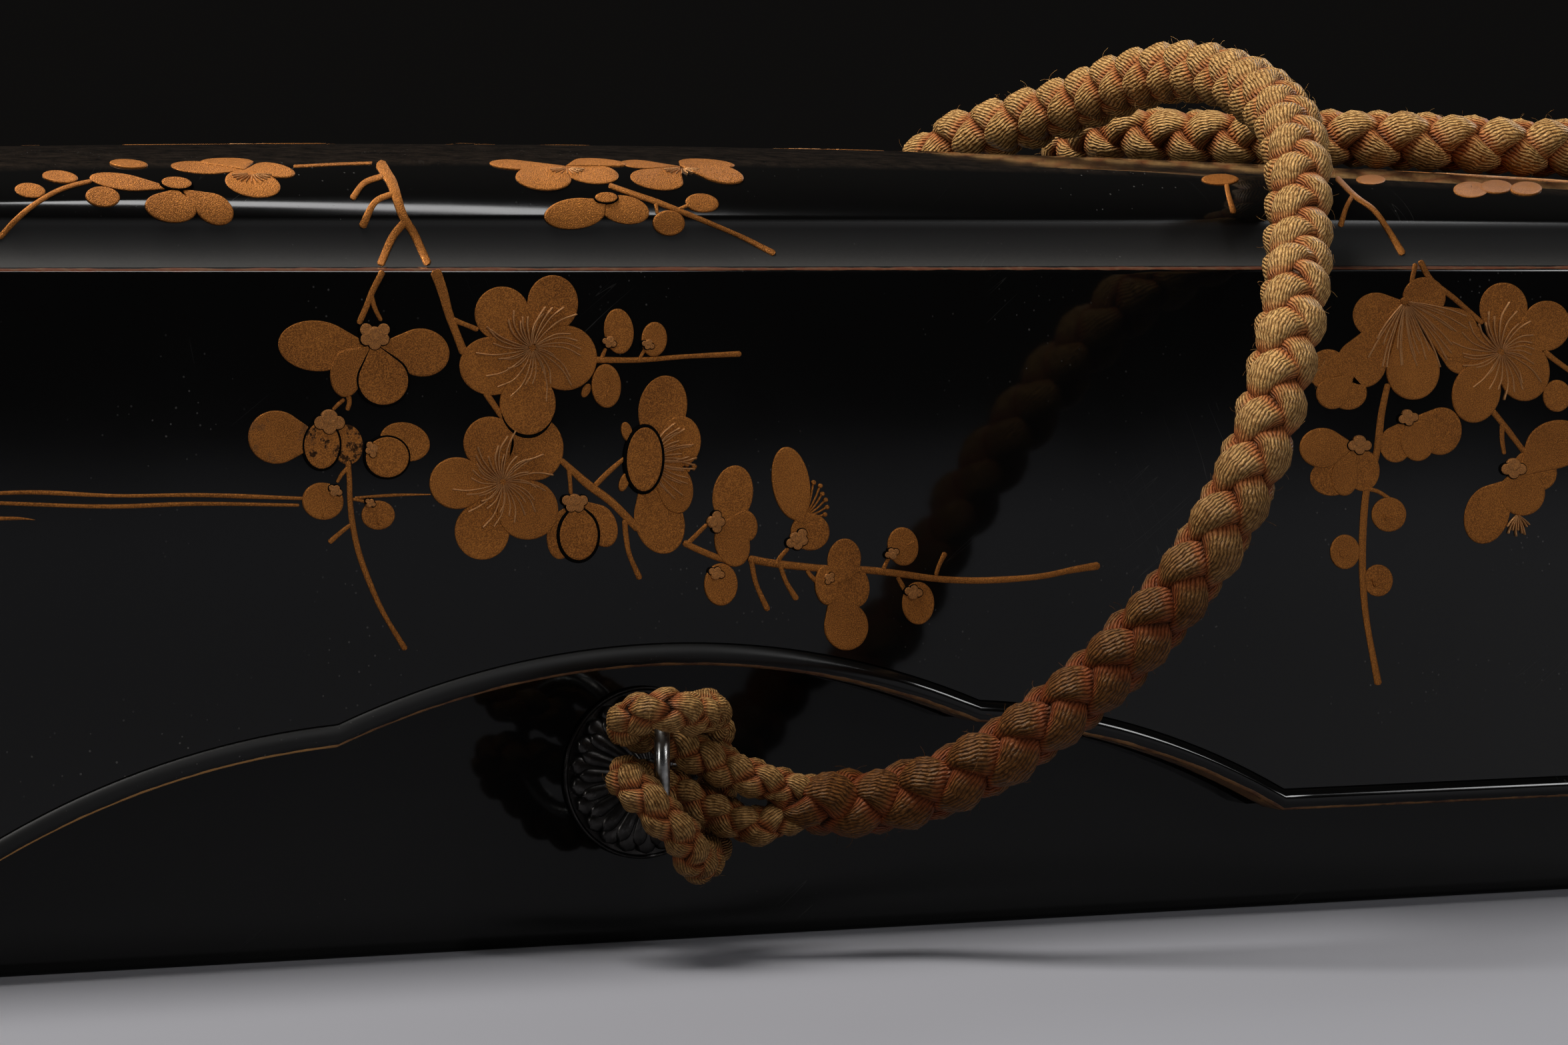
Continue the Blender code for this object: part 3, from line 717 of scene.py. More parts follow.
def close_grid(points, faces, base, count, columns, height):
    """Spans a closed row with a grid; height gives each inner point's height."""
    last = columns - 1
    rows = (count - 2 * last) // 2
    index = [base + i for i in range(count)]
    front = index[:columns]
    right = index[last:last + rows + 1]
    rear = index[last + rows:2 * last + rows + 1][::-1]
    left = (index[2 * last + rows:] + index[:1])[::-1]
    grid = [front]
    place = {i: np.array(points[i]) for i in index}
    for j in range(1, rows):
        line = [left[j]]
        for i in range(1, last):
            u, v = i / last, j / rows
            across = place[front[i]] * (1 - v) + place[rear[i]] * v
            along = place[left[j]] * (1 - u) + place[right[j]] * u
            low = place[front[0]] * (1 - u) + place[front[last]] * u
            high = place[rear[0]] * (1 - u) + place[rear[last]] * u
            spot = across + along - low * (1 - v) - high * v
            points.append((spot[0], spot[1], height(spot[0], spot[1])))
            line.append(len(points) - 1)
        grid.append(line + [right[j]])
    grid.append(rear)
    for near, far in zip(grid[:-1], grid[1:]):
        for i in range(last):
            faces.append((near[i], near[i + 1], far[i + 1], far[i]))


print("shell builder ready")

# %% Lid mesh


def lid_row(offset, shares, height):
    """One closed row of the lid; height is a function of column, x and y."""
    radius = max(LID_CORNER - offset, INNER_CORNER)
    flat = outline(LID_HALF_LENGTH - offset, LID_HALF_WIDTH - offset, radius, shares)
    return [(x, y, height(i, x, y)) for i, (x, y) in enumerate(flat)]


def build_lid():
    """The lid as one closed shell, with each point's height above the lower edge as an attribute."""
    shares = lid_columns()
    flat = outline(LID_HALF_LENGTH, LID_HALF_WIDTH, LID_CORNER, shares)
    edges = [cut_height(x) if abs(abs(y) - LID_HALF_WIDTH) < 1e-9 else EDGE_HEIGHT for x, y in flat]
    inside = BROW_OFFSET + 2 * MM
    rows = [
        lid_row(inside, shares, lambda i, x, y: dome_height(x, y) - LID_TOP),
        lid_row(inside - 0.2 * MM, shares, lambda i, x, y: SEAT_HEIGHT),
        lid_row(LID_WALL, shares, lambda i, x, y: SEAT_HEIGHT),
        lid_row(LID_WALL, shares, lambda i, x, y: edges[i] + 0.3 * MM),
        lid_row(LID_WALL - 0.3 * MM, shares, lambda i, x, y: edges[i]),
    ]
    steps = 10
    for k in range(steps + 1):
        turn = math.pi * k / steps
        offset = BEAD_INSET - (BEAD_INSET + BEAD_PROUD) * math.sin(turn)
        rise = BEAD_HEIGHT * (1 - math.cos(turn)) / 2
        offset = offset if k < steps else 0.0
        rows.append(lid_row(offset, shares, lambda i, x, y, r=rise: edges[i] + r))
    rows.append(lid_row(0.0, shares, lambda i, x, y: edges[i] + BEAD_HEIGHT + 0.3 * MM))
    soft = 0.35 * MM
    rows.append(lid_row(0.0, shares, lambda i, x, y: ARRIS_HEIGHT - 2 * soft))
    for k in range(4):
        turn = math.pi / 2 * k / 3
        drop = soft * (1 - math.sin(turn))
        rows.append(lid_row(soft * (1 - math.cos(turn)), shares, lambda i, x, y, d=drop: ARRIS_HEIGHT - d))
    for offset, cove, rise in top_profile(12)[1:]:
        if offset > soft:
            row = lid_row(offset, shares, lambda i, x, y, c=cove, s=rise: profile_height(c, s, x, y))
            rows.append(row)
    caps = (lambda x, y: dome_height(x, y) - LID_TOP, dome_height)
    made = shell("lid_shell", rows, len(shares), caps, LACQUER_LID)
    rises = []
    for vertex in made.data.vertices:
        x, y, z = vertex.co
        on_side = abs(abs(y) - LID_HALF_WIDTH) < LID_WALL + 1e-6
        on_side = on_side and abs(x) < LID_HALF_LENGTH - LID_CORNER + 1e-6
        rises.append(z - (cut_height(x) if on_side else EDGE_HEIGHT))
    made.data.attributes.new("edge_rise", "FLOAT", "POINT").data.foreach_set("value", rises)
    return made


lid = build_lid()
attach(lid, "root")
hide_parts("lid")
print("lid:", len(lid.data.polygons), "faces")

# %% [markdown]
# ## The body
# The lower box is a plain tray. Only a finger's breadth of it shows under the lid and in the two arches,
# but it is open inside like the real one.

# %% Body mesh


def build_body():
    """The tray, with soft edges at its foot and rim."""
    shares = [s / 24 for s in range(-24, 25)]
    wall, floor, soft = 4.0 * MM, 4.0 * MM, 0.6 * MM
    rows = []
    profile = [(soft * (1 - math.sin(a)), soft * (1 - math.cos(a))) for a in (0.0, 0.5, 1.0, math.pi / 2)]
    profile += [(0.0, 1.5 * MM), (0.0, RIM_HEIGHT - 1.0 * MM)]
    for a in (0.0, 0.8, math.pi / 2):
        profile.append((0.5 * MM * (1 - math.cos(a)), RIM_HEIGHT - 0.5 * MM * (1 - math.sin(a))))
    profile += [(wall - 0.4 * MM, RIM_HEIGHT), (wall, RIM_HEIGHT - 0.4 * MM)]
    profile += [(wall, floor + 0.5 * MM), (wall + 0.5 * MM, floor)]
    for offset, z in profile:
        radius = max(BODY_CORNER - offset, INNER_CORNER)
        flat = outline(BODY_HALF_LENGTH - offset, BODY_HALF_WIDTH - offset, radius, shares)
        rows.append([(x, y, z) for x, y in flat])
    return shell("body_shell", rows, len(shares), (lambda x, y: 0.0, lambda x, y: floor), LACQUER_BODY)


body = build_body()
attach(body, "root")
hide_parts("box_body")
print("body:", len(body.data.polygons), "faces")

# %% [markdown]
# ## Drawing in raised gold
# The pattern is built up in low relief: flat petals with a soft edge, thin raised lines for stamens, and
# round twigs. Each shape is a small closed relief on a flat sheet, where a point has two places and a
# height. A placing function then lays the sheet on the wall or rolls it over the shoulder. The sheet is
# drawn in pixels of the photograph, so a shape can be checked against it directly.

# %% Reliefs on a sheet
RELIEF = 0.10 * MM          # height of a petal over the lacquer
LAYER = 0.045 * MM          # a later shape lies this much higher
SUNK = 0.05 * MM            # how far a relief's foot goes into the lacquer


class Sheet:
    """Collects reliefs as points (across, down, height), with a mark for worn gold."""

    def __init__(self):
        self.points = []
        self.faces = []
        self.worn = []
        self.layer = 0

    def add(self, rings, worn):
        """Joins rings of points from the foot inwards, and closes the last one with a fan."""
        base = len(self.points)
        count = len(rings[0])
        for ring in rings:
            self.points += ring
        self.faces += band(base, len(rings), count)
        last = rings[-1]
        middle = tuple(sum(p[k] for p in last) / count for k in range(3))
        self.points.append(middle)
        tip = len(self.points) - 1
        start = tip - count
        for i in range(count):
            self.faces.append((start + i, start + (i + 1) % count, tip))
        foot = [base + i for i in range(count)]
        self.faces.append(tuple(reversed(foot)))
        self.worn += [worn] * (len(self.points) - base)

    def petal(self, x, y, wide, high, turn=0.0, relief=1.0, worn=0.0, points=48, root=None, gap=0.0):
        """A flat oval with a soft edge. With a root it narrows to that point, like a petal in a flower."""
        lift = (RELIEF + LAYER * (self.layer % 3)) * relief
        if worn > 1.0 or relief > 1.9:
            lift = RELIEF * relief
        if gap:
            lift = RELIEF * relief + 3 * LAYER
            self.petal(x, y, wide + gap, high + gap, turn, (lift - 0.6 * LAYER) / RELIEF, 2.0, points, root)
        self.layer += 1
        cos, sin = math.cos(math.radians(turn)), math.sin(math.radians(turn))
        outline = []
        reach = far = 0.0
        if root:
            away = (root[0] - x, root[1] - y)
            local = ((away[0] * cos + away[1] * sin) / wide, (-away[0] * sin + away[1] * cos) / high)
            far = math.hypot(*local)
            aim = math.atan2(local[1], local[0])
            reach = math.acos(1 / far) if far > 1.05 else 0.0
        for i in range(points):
            a = math.pi * (2 * i / points - 1)
            if reach and abs(a) < reach:
                share = abs(a) / reach
                side = aim + math.copysign(reach, a)
                u = math.cos(side) * share + far * math.cos(aim) * (1 - share)
                v = math.sin(side) * share + far * math.sin(aim) * (1 - share)
            else:
                side = a + (aim if reach else 0.0)
                u, v = math.cos(side), math.sin(side)
            outline.append((u * wide, v * high))
        rings = []
        size = math.sqrt(wide * high)
        edge = ((0.0, -SUNK), (0.0, 0.5 * lift), (0.9, 0.92 * lift), (2.0, lift), (5.0, 0.94 * lift))
        for inset, height in edge:
            grow = max(1 - inset / size, 0.3)
            rings.append([(x + (u * cos - v * sin) * grow, y + (u * sin + v * cos) * grow, height)
                          for u, v in outline])
        self.add(rings, worn)

    def blossom(self, centre, petals, count, near, far, seed, gap=0.0, spread=(0.0, 360.0), bend=0.3):
        """Petals that meet at a middle, and the threads on them."""
        for petal in petals:
            self.petal(*petal, root=centre, gap=gap)
        if count:
            self.petal(*centre, 6, 6, relief=2.7, points=16)
        return self.stamens(*centre, near, far, *spread, count, bend=bend, seed=seed)

    def open_flower(self, x, y, size, turn, seed):
        """Five round petals about a middle, seen from straight above."""
        petals = []
        for k in range(5):
            a = math.radians(turn + 72 * k)
            spot = (x + 0.56 * size * math.sin(a), y - 0.56 * size * math.cos(a))
            petals.append((*spot, 0.42 * size, 0.44 * size))
        self.blossom((x, y), petals, 26, 0.42 * size, 0.80 * size, seed)

    def stroke(self, knots, widths, relief=1.0, worn=0.0):
        """A round twig or line through the knots, whose width runs evenly through the given ones."""
        line, _ = smooth_line(knots, 5.0)
        share = np.linspace(0, 1, len(line))
        half = 0.5 * np.interp(share, np.linspace(0, 1, len(widths)), widths)
        along = np.gradient(line, axis=0)
        along /= np.linalg.norm(along, axis=1)[:, None]
        side = np.column_stack([-along[:, 1], along[:, 0]])
        line = np.vstack([line[0] - along[0] * half[0] * 0.5, line, line[-1] + along[-1] * half[-1] * 0.5])
        side = np.vstack([side[0], side, side[-1]])
        half = np.concatenate([[half[0] * 0.55], half, [half[-1] * 0.55]])
        lift = RELIEF * relief
        base = len(self.points)
        section = [(-1.0, -SUNK), (-0.96, 0.5 * lift), (-0.62, 0.93 * lift), (0.0, 1.1 * lift),
                   (0.62, 0.93 * lift), (0.96, 0.5 * lift), (1.0, -SUNK)]
        wide = len(section)
        for spot, away, reach in zip(line, side, half):
            for share, height in section:
                place = spot + away * reach * share
                self.points.append((place[0], place[1], height))
        rows = len(line)
        self.faces += band(base, rows, wide)
        self.faces.append(tuple(base + i for i in reversed(range(wide))))
        self.faces.append(tuple(base + (rows - 1) * wide + i for i in range(wide)))
        self.worn += [worn] * (rows * wide)

    def dots(self, places, radius, relief=2.2):
        """Small round beads, such as anthers."""
        for x, y in places:
            self.petal(x, y, radius, radius, relief=relief, points=12)

    def calyx(self, x, y, size, turn=0.0, lobes=3):
        """A cluster of small round lobes where a flower meets its twig."""
        for k in range(lobes):
            a = math.radians(turn + (k - (lobes - 1) / 2) * 58.0)
            spot = (x + 0.85 * size * math.sin(a), y + 0.85 * size * math.cos(a))
            self.petal(*spot, 0.6 * size, 0.6 * size, relief=1.8, worn=-0.10, points=20, gap=0.8)
        self.petal(x, y, 0.72 * size, 0.66 * size, turn, relief=3.4, worn=-0.10, points=20)

    def threads(self, x, y, count, wide, high):
        """Stamens of a flower that lies flat on the dome, seen at a low angle."""
        for k in range(count):
            a = math.pi * (k + 0.5) / count
            far = (x + wide * math.cos(a), y + high * math.sin(a))
            near = (x + 0.25 * wide * math.cos(a), y + 0.2 * high * math.sin(a))
            self.stroke([near, far], [1.6, 1.8], relief=2.2, worn=-0.3)

    def stamens(self, x, y, near, far, start, end, count, bend=0.3, width=2.6, seed=1):
        """Thin raised threads that fan out from a point, of uneven lengths, bowed all one way."""
        pick = random.Random(seed)
        whole_turn = end - start > 300
        ends = []
        for k in range(count):
            a = math.radians(start + (end - start) * (k + 0.5) / count + pick.uniform(-2.5, 2.5))
            reach = near + (far - near) * pick.random()
            lean = bend * pick.uniform(0.5, 1.3) * (1 if k * 2 < count or whole_turn else -1)
            knots = []
            for share in (0.10, 0.35, 0.7, 1.0):
                b = a + lean * share * share
                knots.append((x + reach * share * math.sin(b), y - reach * share * math.cos(b)))
            self.stroke(knots, [width * 0.8, width, width, width * 1.2], relief=2.7, worn=-0.30)
            ends.append(knots[-1])
        return ends


print("relief shapes ready")

# %% Laying a sheet on the box


def on_front_wall(x, y, height):
    """A pixel of the photograph on the lid's front wall."""
    spot = seen_on_plane(x, y, -LID_HALF_WIDTH)
    return (spot.x, -LID_HALF_WIDTH - height, spot.z)


PROFILE = top_profile(24) + [(BROW_OFFSET + step * MM, 1.0, 1.0) for step in range(1, 30)]


def on_front_shoulder(x, y, height):
    """A pixel of the photograph on the hollow, the shoulder or the near part of the dome."""
    along = line_of_sight(x, y)
    best = None
    for offset, cove, rise in PROFILE:
        depth = -LID_HALF_WIDTH + offset
        spot = CAMERA_PLACE + along * ((depth - CAMERA_PLACE.y) / along.y)
        gap = spot.z - profile_height(cove, rise, spot.x, depth)
        here = (gap, offset, cove, rise, spot.x)
        if gap <= 0.0:
            if best is None:
                best = here
                break
            share = best[0] / (best[0] - gap)
            best = tuple(p + (q - p) * share for p, q in zip(best, here))
            break
        if best is None or gap < best[0] + 1.0:
            best = here
    gap, offset, cove, rise, across = best
    depth = -LID_HALF_WIDTH + offset
    before = min(range(len(PROFILE)), key=lambda k: abs(PROFILE[k][0] - offset))
    low, high = PROFILE[max(before - 1, 0)], PROFILE[min(before + 1, len(PROFILE) - 1)]
    run = high[0] - low[0]
    heights = [profile_height(c, s, across, o - LID_HALF_WIDTH) for o, c, s in (low, high)]
    climb = heights[1] - heights[0]
    steep = math.hypot(run, climb)
    z = profile_height(cove, rise, across, depth)
    return (across, depth - height * climb / steep, z + height * run / steep)


def lay(sheet, name, place, turned=False):
    """Makes a sheet's reliefs into a mesh at its place. turned gives the same on the opposite side."""
    flip = -1.0 if turned else 1.0
    points = []
    for x, y, height in sheet.points:
        spot = place(x, y, height)
        points.append((flip * spot[0], flip * spot[1], spot[2]))
    made = new_object(name, points, sheet.faces, GOLD, sharp=60.0)
    made.data.attributes.new("worn", "FLOAT", "POINT").data.foreach_set("value", sheet.worn)
    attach(made, "root")
    print(name + ":", len(made.data.polygons), "faces")
    return made


# %% [markdown]
# ### The left spray
# Twigs come down over the arris and carry flowers seen from the front, from behind and from the side, with
# round buds between. Five overlapping ovals make an open flower, and its threads start at its middle. A
# petal is given by its place, its half width and half height, and its turn in degrees.

# %% Left spray on the front wall
wall = Sheet()
for relief, widths, knots in (
    (1.4, [10, 9, 9], [(573, 409), (558, 438), (550, 459), (539, 484)]),
    (1.4, [8, 7, 6], [(556, 441), (562, 462), (571, 480)]),
    (1.5, [17, 15, 13, 12, 13], [(654, 409), (664, 438), (673, 470), (683, 497), (695, 528)]),
    (1.3, [9, 7, 8], [(680, 480), (698, 487), (715, 494)]),
    (1.3, [10, 9, 8], [(729, 590), (741, 608), (757, 632)]),
):
    wall.stroke(knots, widths, relief)
wall.petal(474, 519, 57, 38, 5, root=(556, 518))
wall.petal(632, 529, 42, 36, 8, root=(562, 518))
wall.petal(519, 560, 24, 36, 4, root=(556, 518))
wall.petal(574, 571, 38, 37, 8, root=(558, 512), gap=3.0)
wall.calyx(561, 501, 17, 0, lobes=5)
wall.petal(928, 497, 22, 34, -6)
wall.petal(981, 509, 19, 26, 4)
wall.calyx(914, 510, 9, -20)
wall.calyx(972, 514, 8, -20)
for relief, widths, knots in (
    (1.2, [6, 5], [(903, 536), (908, 524)]),
    (1.2, [5, 5], [(960, 537), (967, 524)]),
    (1.3, [10, 8, 7, 9], [(894, 540), (960, 540), (1030, 535), (1109, 531)]),
):
    wall.stroke(knots, widths, relief)
wall.petal(909, 579, 22, 33, -3)
wall.stroke([(909, 565), (913, 580), (907, 596)], [4, 5, 3], relief=2.2)
wall.petal(879, 586, 6, 11, 25)
wall.blossom((753, 723), ((735, 665, 40, 40), (685, 725, 41, 39), (723, 797, 41, 43), (803, 673, 42, 48),
    (791, 765, 46, 45)), 34, 40, 80, seed=8)
wall.petal(791, 611, 41, 47, worn=2.0, relief=2.1)
wall.blossom((797, 522), ((791, 606, 42, 47, 0, 2.25), (753, 471, 41, 41), (738, 549, 49, 44),
    (847, 537, 48, 49), (829, 455, 38, 42)), 32, 40, 84, seed=3)
print("reliefs so far:", len(wall.faces))

# %% Flowers around the mist lines
for relief, widths, knots in (
    (1.2, [6, 7, 5, 6, 7, 5], [(0, 740), (60, 739), (176, 744), (300, 743), (456, 748)]),
    (1.2, [6, 6, 7, 6, 5], [(0, 755), (159, 760), (294, 756), (447, 758)]),
    (1.2, [6, 5, 1], [(0, 778), (30, 778), (52, 780)]),
    (1.3, [8, 7, 7], [(523, 596), (524, 604), (521, 614)]),
    (1.3, [6, 6, 5], [(515, 600), (508, 606), (500, 614)]),
):
    wall.stroke(knots, widths, relief)
wall.petal(414, 656, 42, 40, 4, worn=0.35, root=(490, 660))
wall.petal(521, 667, 23, 30, -6, worn=0.9, root=(492, 640))
wall.petal(482, 668, 27, 36, 2, worn=0.9, gap=3.0)
wall.calyx(493, 626, 18, 0, lobes=3)
wall.petal(607, 663, 38, 29, 14, root=(565, 678))
wall.petal(580, 686, 33, 31, gap=2.5)
wall.calyx(560, 673, 10, -70)
wall.petal(484, 752, 31, 28, 10)
wall.stroke([(484, 776), (482, 766)], [5, 2], relief=2.2)
wall.calyx(500, 739, 9, 150)
wall.petal(567, 773, 25, 22)
wall.stroke([(567, 786), (566, 778)], [4, 2], relief=2.2)
wall.calyx(553, 757, 7, 150)
for relief, widths, knots in (
    (1.4, [8, 8, 9, 9, 9, 8, 7, 9], [(522, 694), (524, 720), (525, 753), (529, 788), (538, 829), (553, 871),
     (574, 918), (607, 973)]),
    (1.3, [7, 6, 5], [(521, 703), (513, 711), (506, 723)]),
    (1.3, [6, 7, 8], [(525, 788), (512, 798), (495, 813)]),
    (1.2, [5, 5, 4], [(530, 749), (541, 751), (551, 754)]),
    (1.2, [4, 5, 2], [(533, 747), (590, 743), (645, 742)]),
):
    wall.stroke(knots, widths, relief)
print("reliefs so far:", len(wall.faces))

# %% The side flower and its stem
for relief, widths, knots in (
    (1.4, [9, 13, 12, 12], [(842, 691), (882, 727), (918, 754), (956, 793)]),
    (1.3, [8, 8, 6], [(894, 727), (913, 708), (936, 688)]),
    (1.3, [8, 8, 7, 9], [(937, 782), (939, 805), (944, 832), (959, 867)]),
    (1.3, [7, 6, 6], [(853, 703), (855, 722), (856, 740)]),
):
    wall.stroke(knots, widths, relief)
wall.petal(841, 803, 21, 36, 4, root=(858, 755))
wall.petal(902, 789, 23, 33, -20, root=(862, 748))
wall.petal(867, 803, 29, 38, 0, root=(862, 752), gap=4.0)
wall.calyx(861, 750, 14, 0, lobes=4)
wall.petal(940, 648, 8, 15, -14, relief=1.2)
wall.petal(936, 723, 7, 15, 20, relief=1.2)
for petal in (
        (994, 612, 36, 49, 12), (1021, 662, 30, 38, 0), (1013, 733, 26, 38, -8), (989, 782, 37, 50, -16)):
    wall.petal(*petal, root=(968, 690))
tips = wall.stamens(968, 690, 50, 76, 24, 156, 22, bend=0.16, seed=5)
wall.dots(tips, 2.6)
wall.dots([(1041, 700), (1031, 705), (1030, 697)], 3.8)
wall.petal(965, 689, 27, 49, 2, relief=2.2, gap=4.0)
print("reliefs so far:", len(wall.faces))

# %% The long stem to the right
for relief, widths, knots in (
    (1.4, [10, 10, 9], [(1027, 815), (1050, 826), (1080, 838), (1100, 842)]),
    (1.4, [12, 12, 11, 11, 11, 10, 10, 10, 9, 9, 12], [(1125, 839), (1165, 846), (1235, 853), (1295, 855),
     (1350, 861), (1400, 868), (1450, 871), (1500, 870), (1560, 865), (1610, 855), (1646, 849)]),
    (1.3, [7, 7, 6], [(1032, 815), (1045, 802), (1059, 788)]),
    (1.3, [8, 7, 9], [(1127, 842), (1134, 876), (1151, 914)]),
    (1.3, [7, 7, 9], [(1170, 848), (1179, 873), (1194, 898)]),
    (1.3, [7, 7, 6], [(1165, 845), (1172, 834), (1181, 824)]),
    (1.3, [6, 7, 7], [(1211, 857), (1216, 864), (1224, 872)]),
    (1.3, [6, 6, 5], [(1325, 854), (1329, 845), (1333, 837)]),
    (1.3, [6, 7, 6], [(1347, 867), (1352, 876), (1357, 886)]),
    (1.3, [6, 6, 8], [(1404, 862), (1409, 847), (1417, 831)]),
):
    wall.stroke(knots, widths, relief)
wall.petal(1118, 789, 18, 24, -8, root=(1078, 786))
wall.petal(1098, 815, 26, 36, -14, root=(1076, 778))
wall.petal(1099, 742, 30, 44, 10, root=(1080, 790))
wall.calyx(1068, 783, 13, 90, lobes=3)
wall.petal(1081, 877, 25, 32, 0)
wall.stroke([(1081, 893), (1085, 904)], [2, 5], relief=2.2)
wall.calyx(1072, 864, 10, 160)
wall.petal(1215, 798, 29, 28, 10, root=(1186, 796))
wall.petal(1186, 725, 28, 55, -9, root=(1204, 788))
wall.calyx(1193, 807, 13, 40, lobes=4)
for tip in ((1220, 724), (1230, 729), (1233, 741), (1238, 750), (1240, 761), (1237, 772)):
    wall.stroke([(1207, 774), ((1207 + tip[0]) / 2 + 1, (774 + tip[1]) / 2 + 2), tip], [3, 3, 3], relief=1.2)
    wall.dots([tip], 3.6)
wall.petal(1283, 880, 21, 31, -6, root=(1244, 890))
wall.petal(1266, 840, 25, 32, 6, root=(1244, 880))
wall.petal(1269, 940, 33, 36, 0, root=(1246, 882))
wall.petal(1239, 878, 17, 30, -4, relief=2.4)
wall.calyx(1240, 866, 8, 60)
wall.petal(1354, 820, 23, 29, -6)
wall.stroke([(1360, 818), (1370, 813)], [2, 5], relief=2.2)
wall.calyx(1338, 834, 9, 200)
wall.petal(1377, 905, 24, 32, 0)
wall.calyx(1368, 893, 11, 170)
wall.stroke([(1382, 914), (1384, 924)], [2, 5], relief=2.2)
print("reliefs so far:", len(wall.faces))

# %% The right spray, behind the cord
for relief, widths, knots in (
    (1.4, [9, 9, 8, 8], [(2131, 393), (2147, 421), (2180, 447), (2222, 484)]),
    (1.3, [7, 7], [(2123, 397), (2117, 424)]),
    (1.3, [9, 8, 8], [(2317, 528), (2336, 543), (2360, 560)]),
    (1.3, [9, 9, 8], [(2239, 617), (2262, 646), (2286, 678)]),
    (1.3, [7, 7, 6], [(2253, 639), (2253, 660), (2256, 680)]),
    (1.4, [9, 11, 10, 11, 11, 10, 9, 11], [(2081, 578), (2072, 622), (2064, 683), (2050, 733), (2044, 800),
     (2044, 867), (2050, 933), (2067, 1025)]),
    (1.3, [7, 6, 6], [(2050, 733), (2068, 738), (2089, 752)]),
):
    wall.stroke(knots, widths, relief)
for petal in ((1992, 555, 30, 31), (2022, 589, 28, 26), (1998, 590, 24, 24)):
    wall.petal(*petal, root=(2032, 560))
wall.blossom((2106, 452), ((2195, 534, 30, 28, 0), (2136, 446, 32, 30, 0), (2181, 500, 36, 38, 0),
    (2064, 473, 35, 34, 0), (2042, 545, 37, 37, 0), (2119, 556, 40, 44, 0)),
    24, 60, 112, 12, spread=(95, 225), bend=0.1)
wall.blossom((2250, 528), ((2194, 512, 30, 33, 0), (2214, 589, 36, 46, 14), (2255, 462, 36, 38, 0),
    (2319, 489, 36, 38, 20), (2286, 558, 38, 44, 0)), 30, 40, 76, 14)
wall.petal(2335, 594, 21, 24, 0)
for petal in (
        (2333, 667, 46, 36, -18), (2302, 706, 34, 30, 30), (2230, 772, 33, 45, 18), (2283, 740, 34, 34, 0)):
    wall.petal(*petal, root=(2275, 715))
wall.calyx(2269, 697, 15, 0)
wall.stamens(2275, 772, 22, 34, 120, 230, 9, bend=0.1, seed=4)
for petal in ((2161, 647, 31, 36, 10), (2126, 661, 26, 31, 0), (2093, 667, 24, 27, 0)):
    wall.petal(*petal, root=(2113, 628))
wall.calyx(2110, 622, 12, 10)
for petal in ((1983, 672, 34, 30, 0), (1997, 717, 32, 27, 0), (2044, 706, 25, 31, 0), (2016, 716, 20, 28, 0)):
    wall.petal(*petal, root=(2034, 668))
wall.calyx(2038, 662, 14, 0)
for bud in ((2083, 772, 26, 26), (2017, 828, 22, 26), (2067, 871, 22, 24)):
    wall.petal(*bud)
    x, y = bud[:2]
    wall.stroke([(x + 4, y + 4), (x - 6, y + 8), (x - 9, y - 2)], [3, 4, 2], relief=2.2)
lay(wall, "front_gold", on_front_wall)
lay(wall, "rear_gold", on_front_wall, turned=True)

# %% Twigs and flowers over the shoulder
brow = Sheet()
brow.stroke([(0, 356), (21, 333), (46, 311), (79, 290), (107, 279), (136, 272)], [9, 9, 8, 7, 6], relief=1.4)
brow.petal(45, 286, 23, 11, 6)
brow.petal(90, 266, 27, 9, 6)
brow.petal(154, 296, 26, 15, 6)
brow.petal(182, 273, 48, 12, 8, root=(262, 283))
brow.petal(321, 314, 31, 22, 28, root=(272, 284))
brow.petal(256, 312, 39, 22, 8, root=(264, 284))
brow.petal(264, 277, 24, 9, 4, relief=1.8, gap=1.5)
brow.petal(193, 247, 29, 6, 4)
brow.blossom((366, 256), ((300, 252, 44, 9, 4), (411, 256, 32, 10, 10), (340, 244, 40, 5, 0),
    (379, 276, 42, 20, 10)), 0, 10, 26, 5)
brow.threads(377, 262, 11, 30, 12)
for relief, widths, knots in (
    (1.2, [4, 4, 4], [(441, 250), (500, 247), (557, 245)]),
    (1.5, [17, 16, 14, 13, 12, 12], [(571, 247), (580, 262), (589, 278), (604, 323), (621, 351), (641, 395)]),
    (1.3, [9, 9, 10], [(572, 265), (546, 275), (529, 297)]),
    (1.3, [9, 10, 12], [(588, 291), (562, 304), (544, 339)]),
    (1.4, [12, 12, 12], [(607, 333), (588, 357), (571, 396)]),
):
    brow.stroke(knots, widths, relief)
brow.blossom((848, 250), ((770, 248, 36, 7, 4), (900, 245, 40, 5, 4), (888, 261, 40, 15, 6),
    (815, 268, 42, 18, 4)), 0, 8, 20, 6)
brow.threads(850, 254, 9, 26, 8)
brow.petal(862, 321, 46, 23, -6, root=(909, 300))
brow.petal(937, 315, 37, 21, 10, root=(909, 298))
brow.petal(908, 298, 18, 8, 0, relief=1.8, gap=1.5)
brow.blossom((1020, 250), ((960, 247, 30, 6, 4), (1060, 246, 42, 6, 4), (1080, 262, 36, 13, 12),
    (985, 270, 40, 15, 8)), 0, 8, 18, 9)
brow.threads(1022, 254, 9, 26, 8)
brow.petal(1053, 305, 25, 14, 6)
brow.petal(1003, 335, 24, 19, 4)
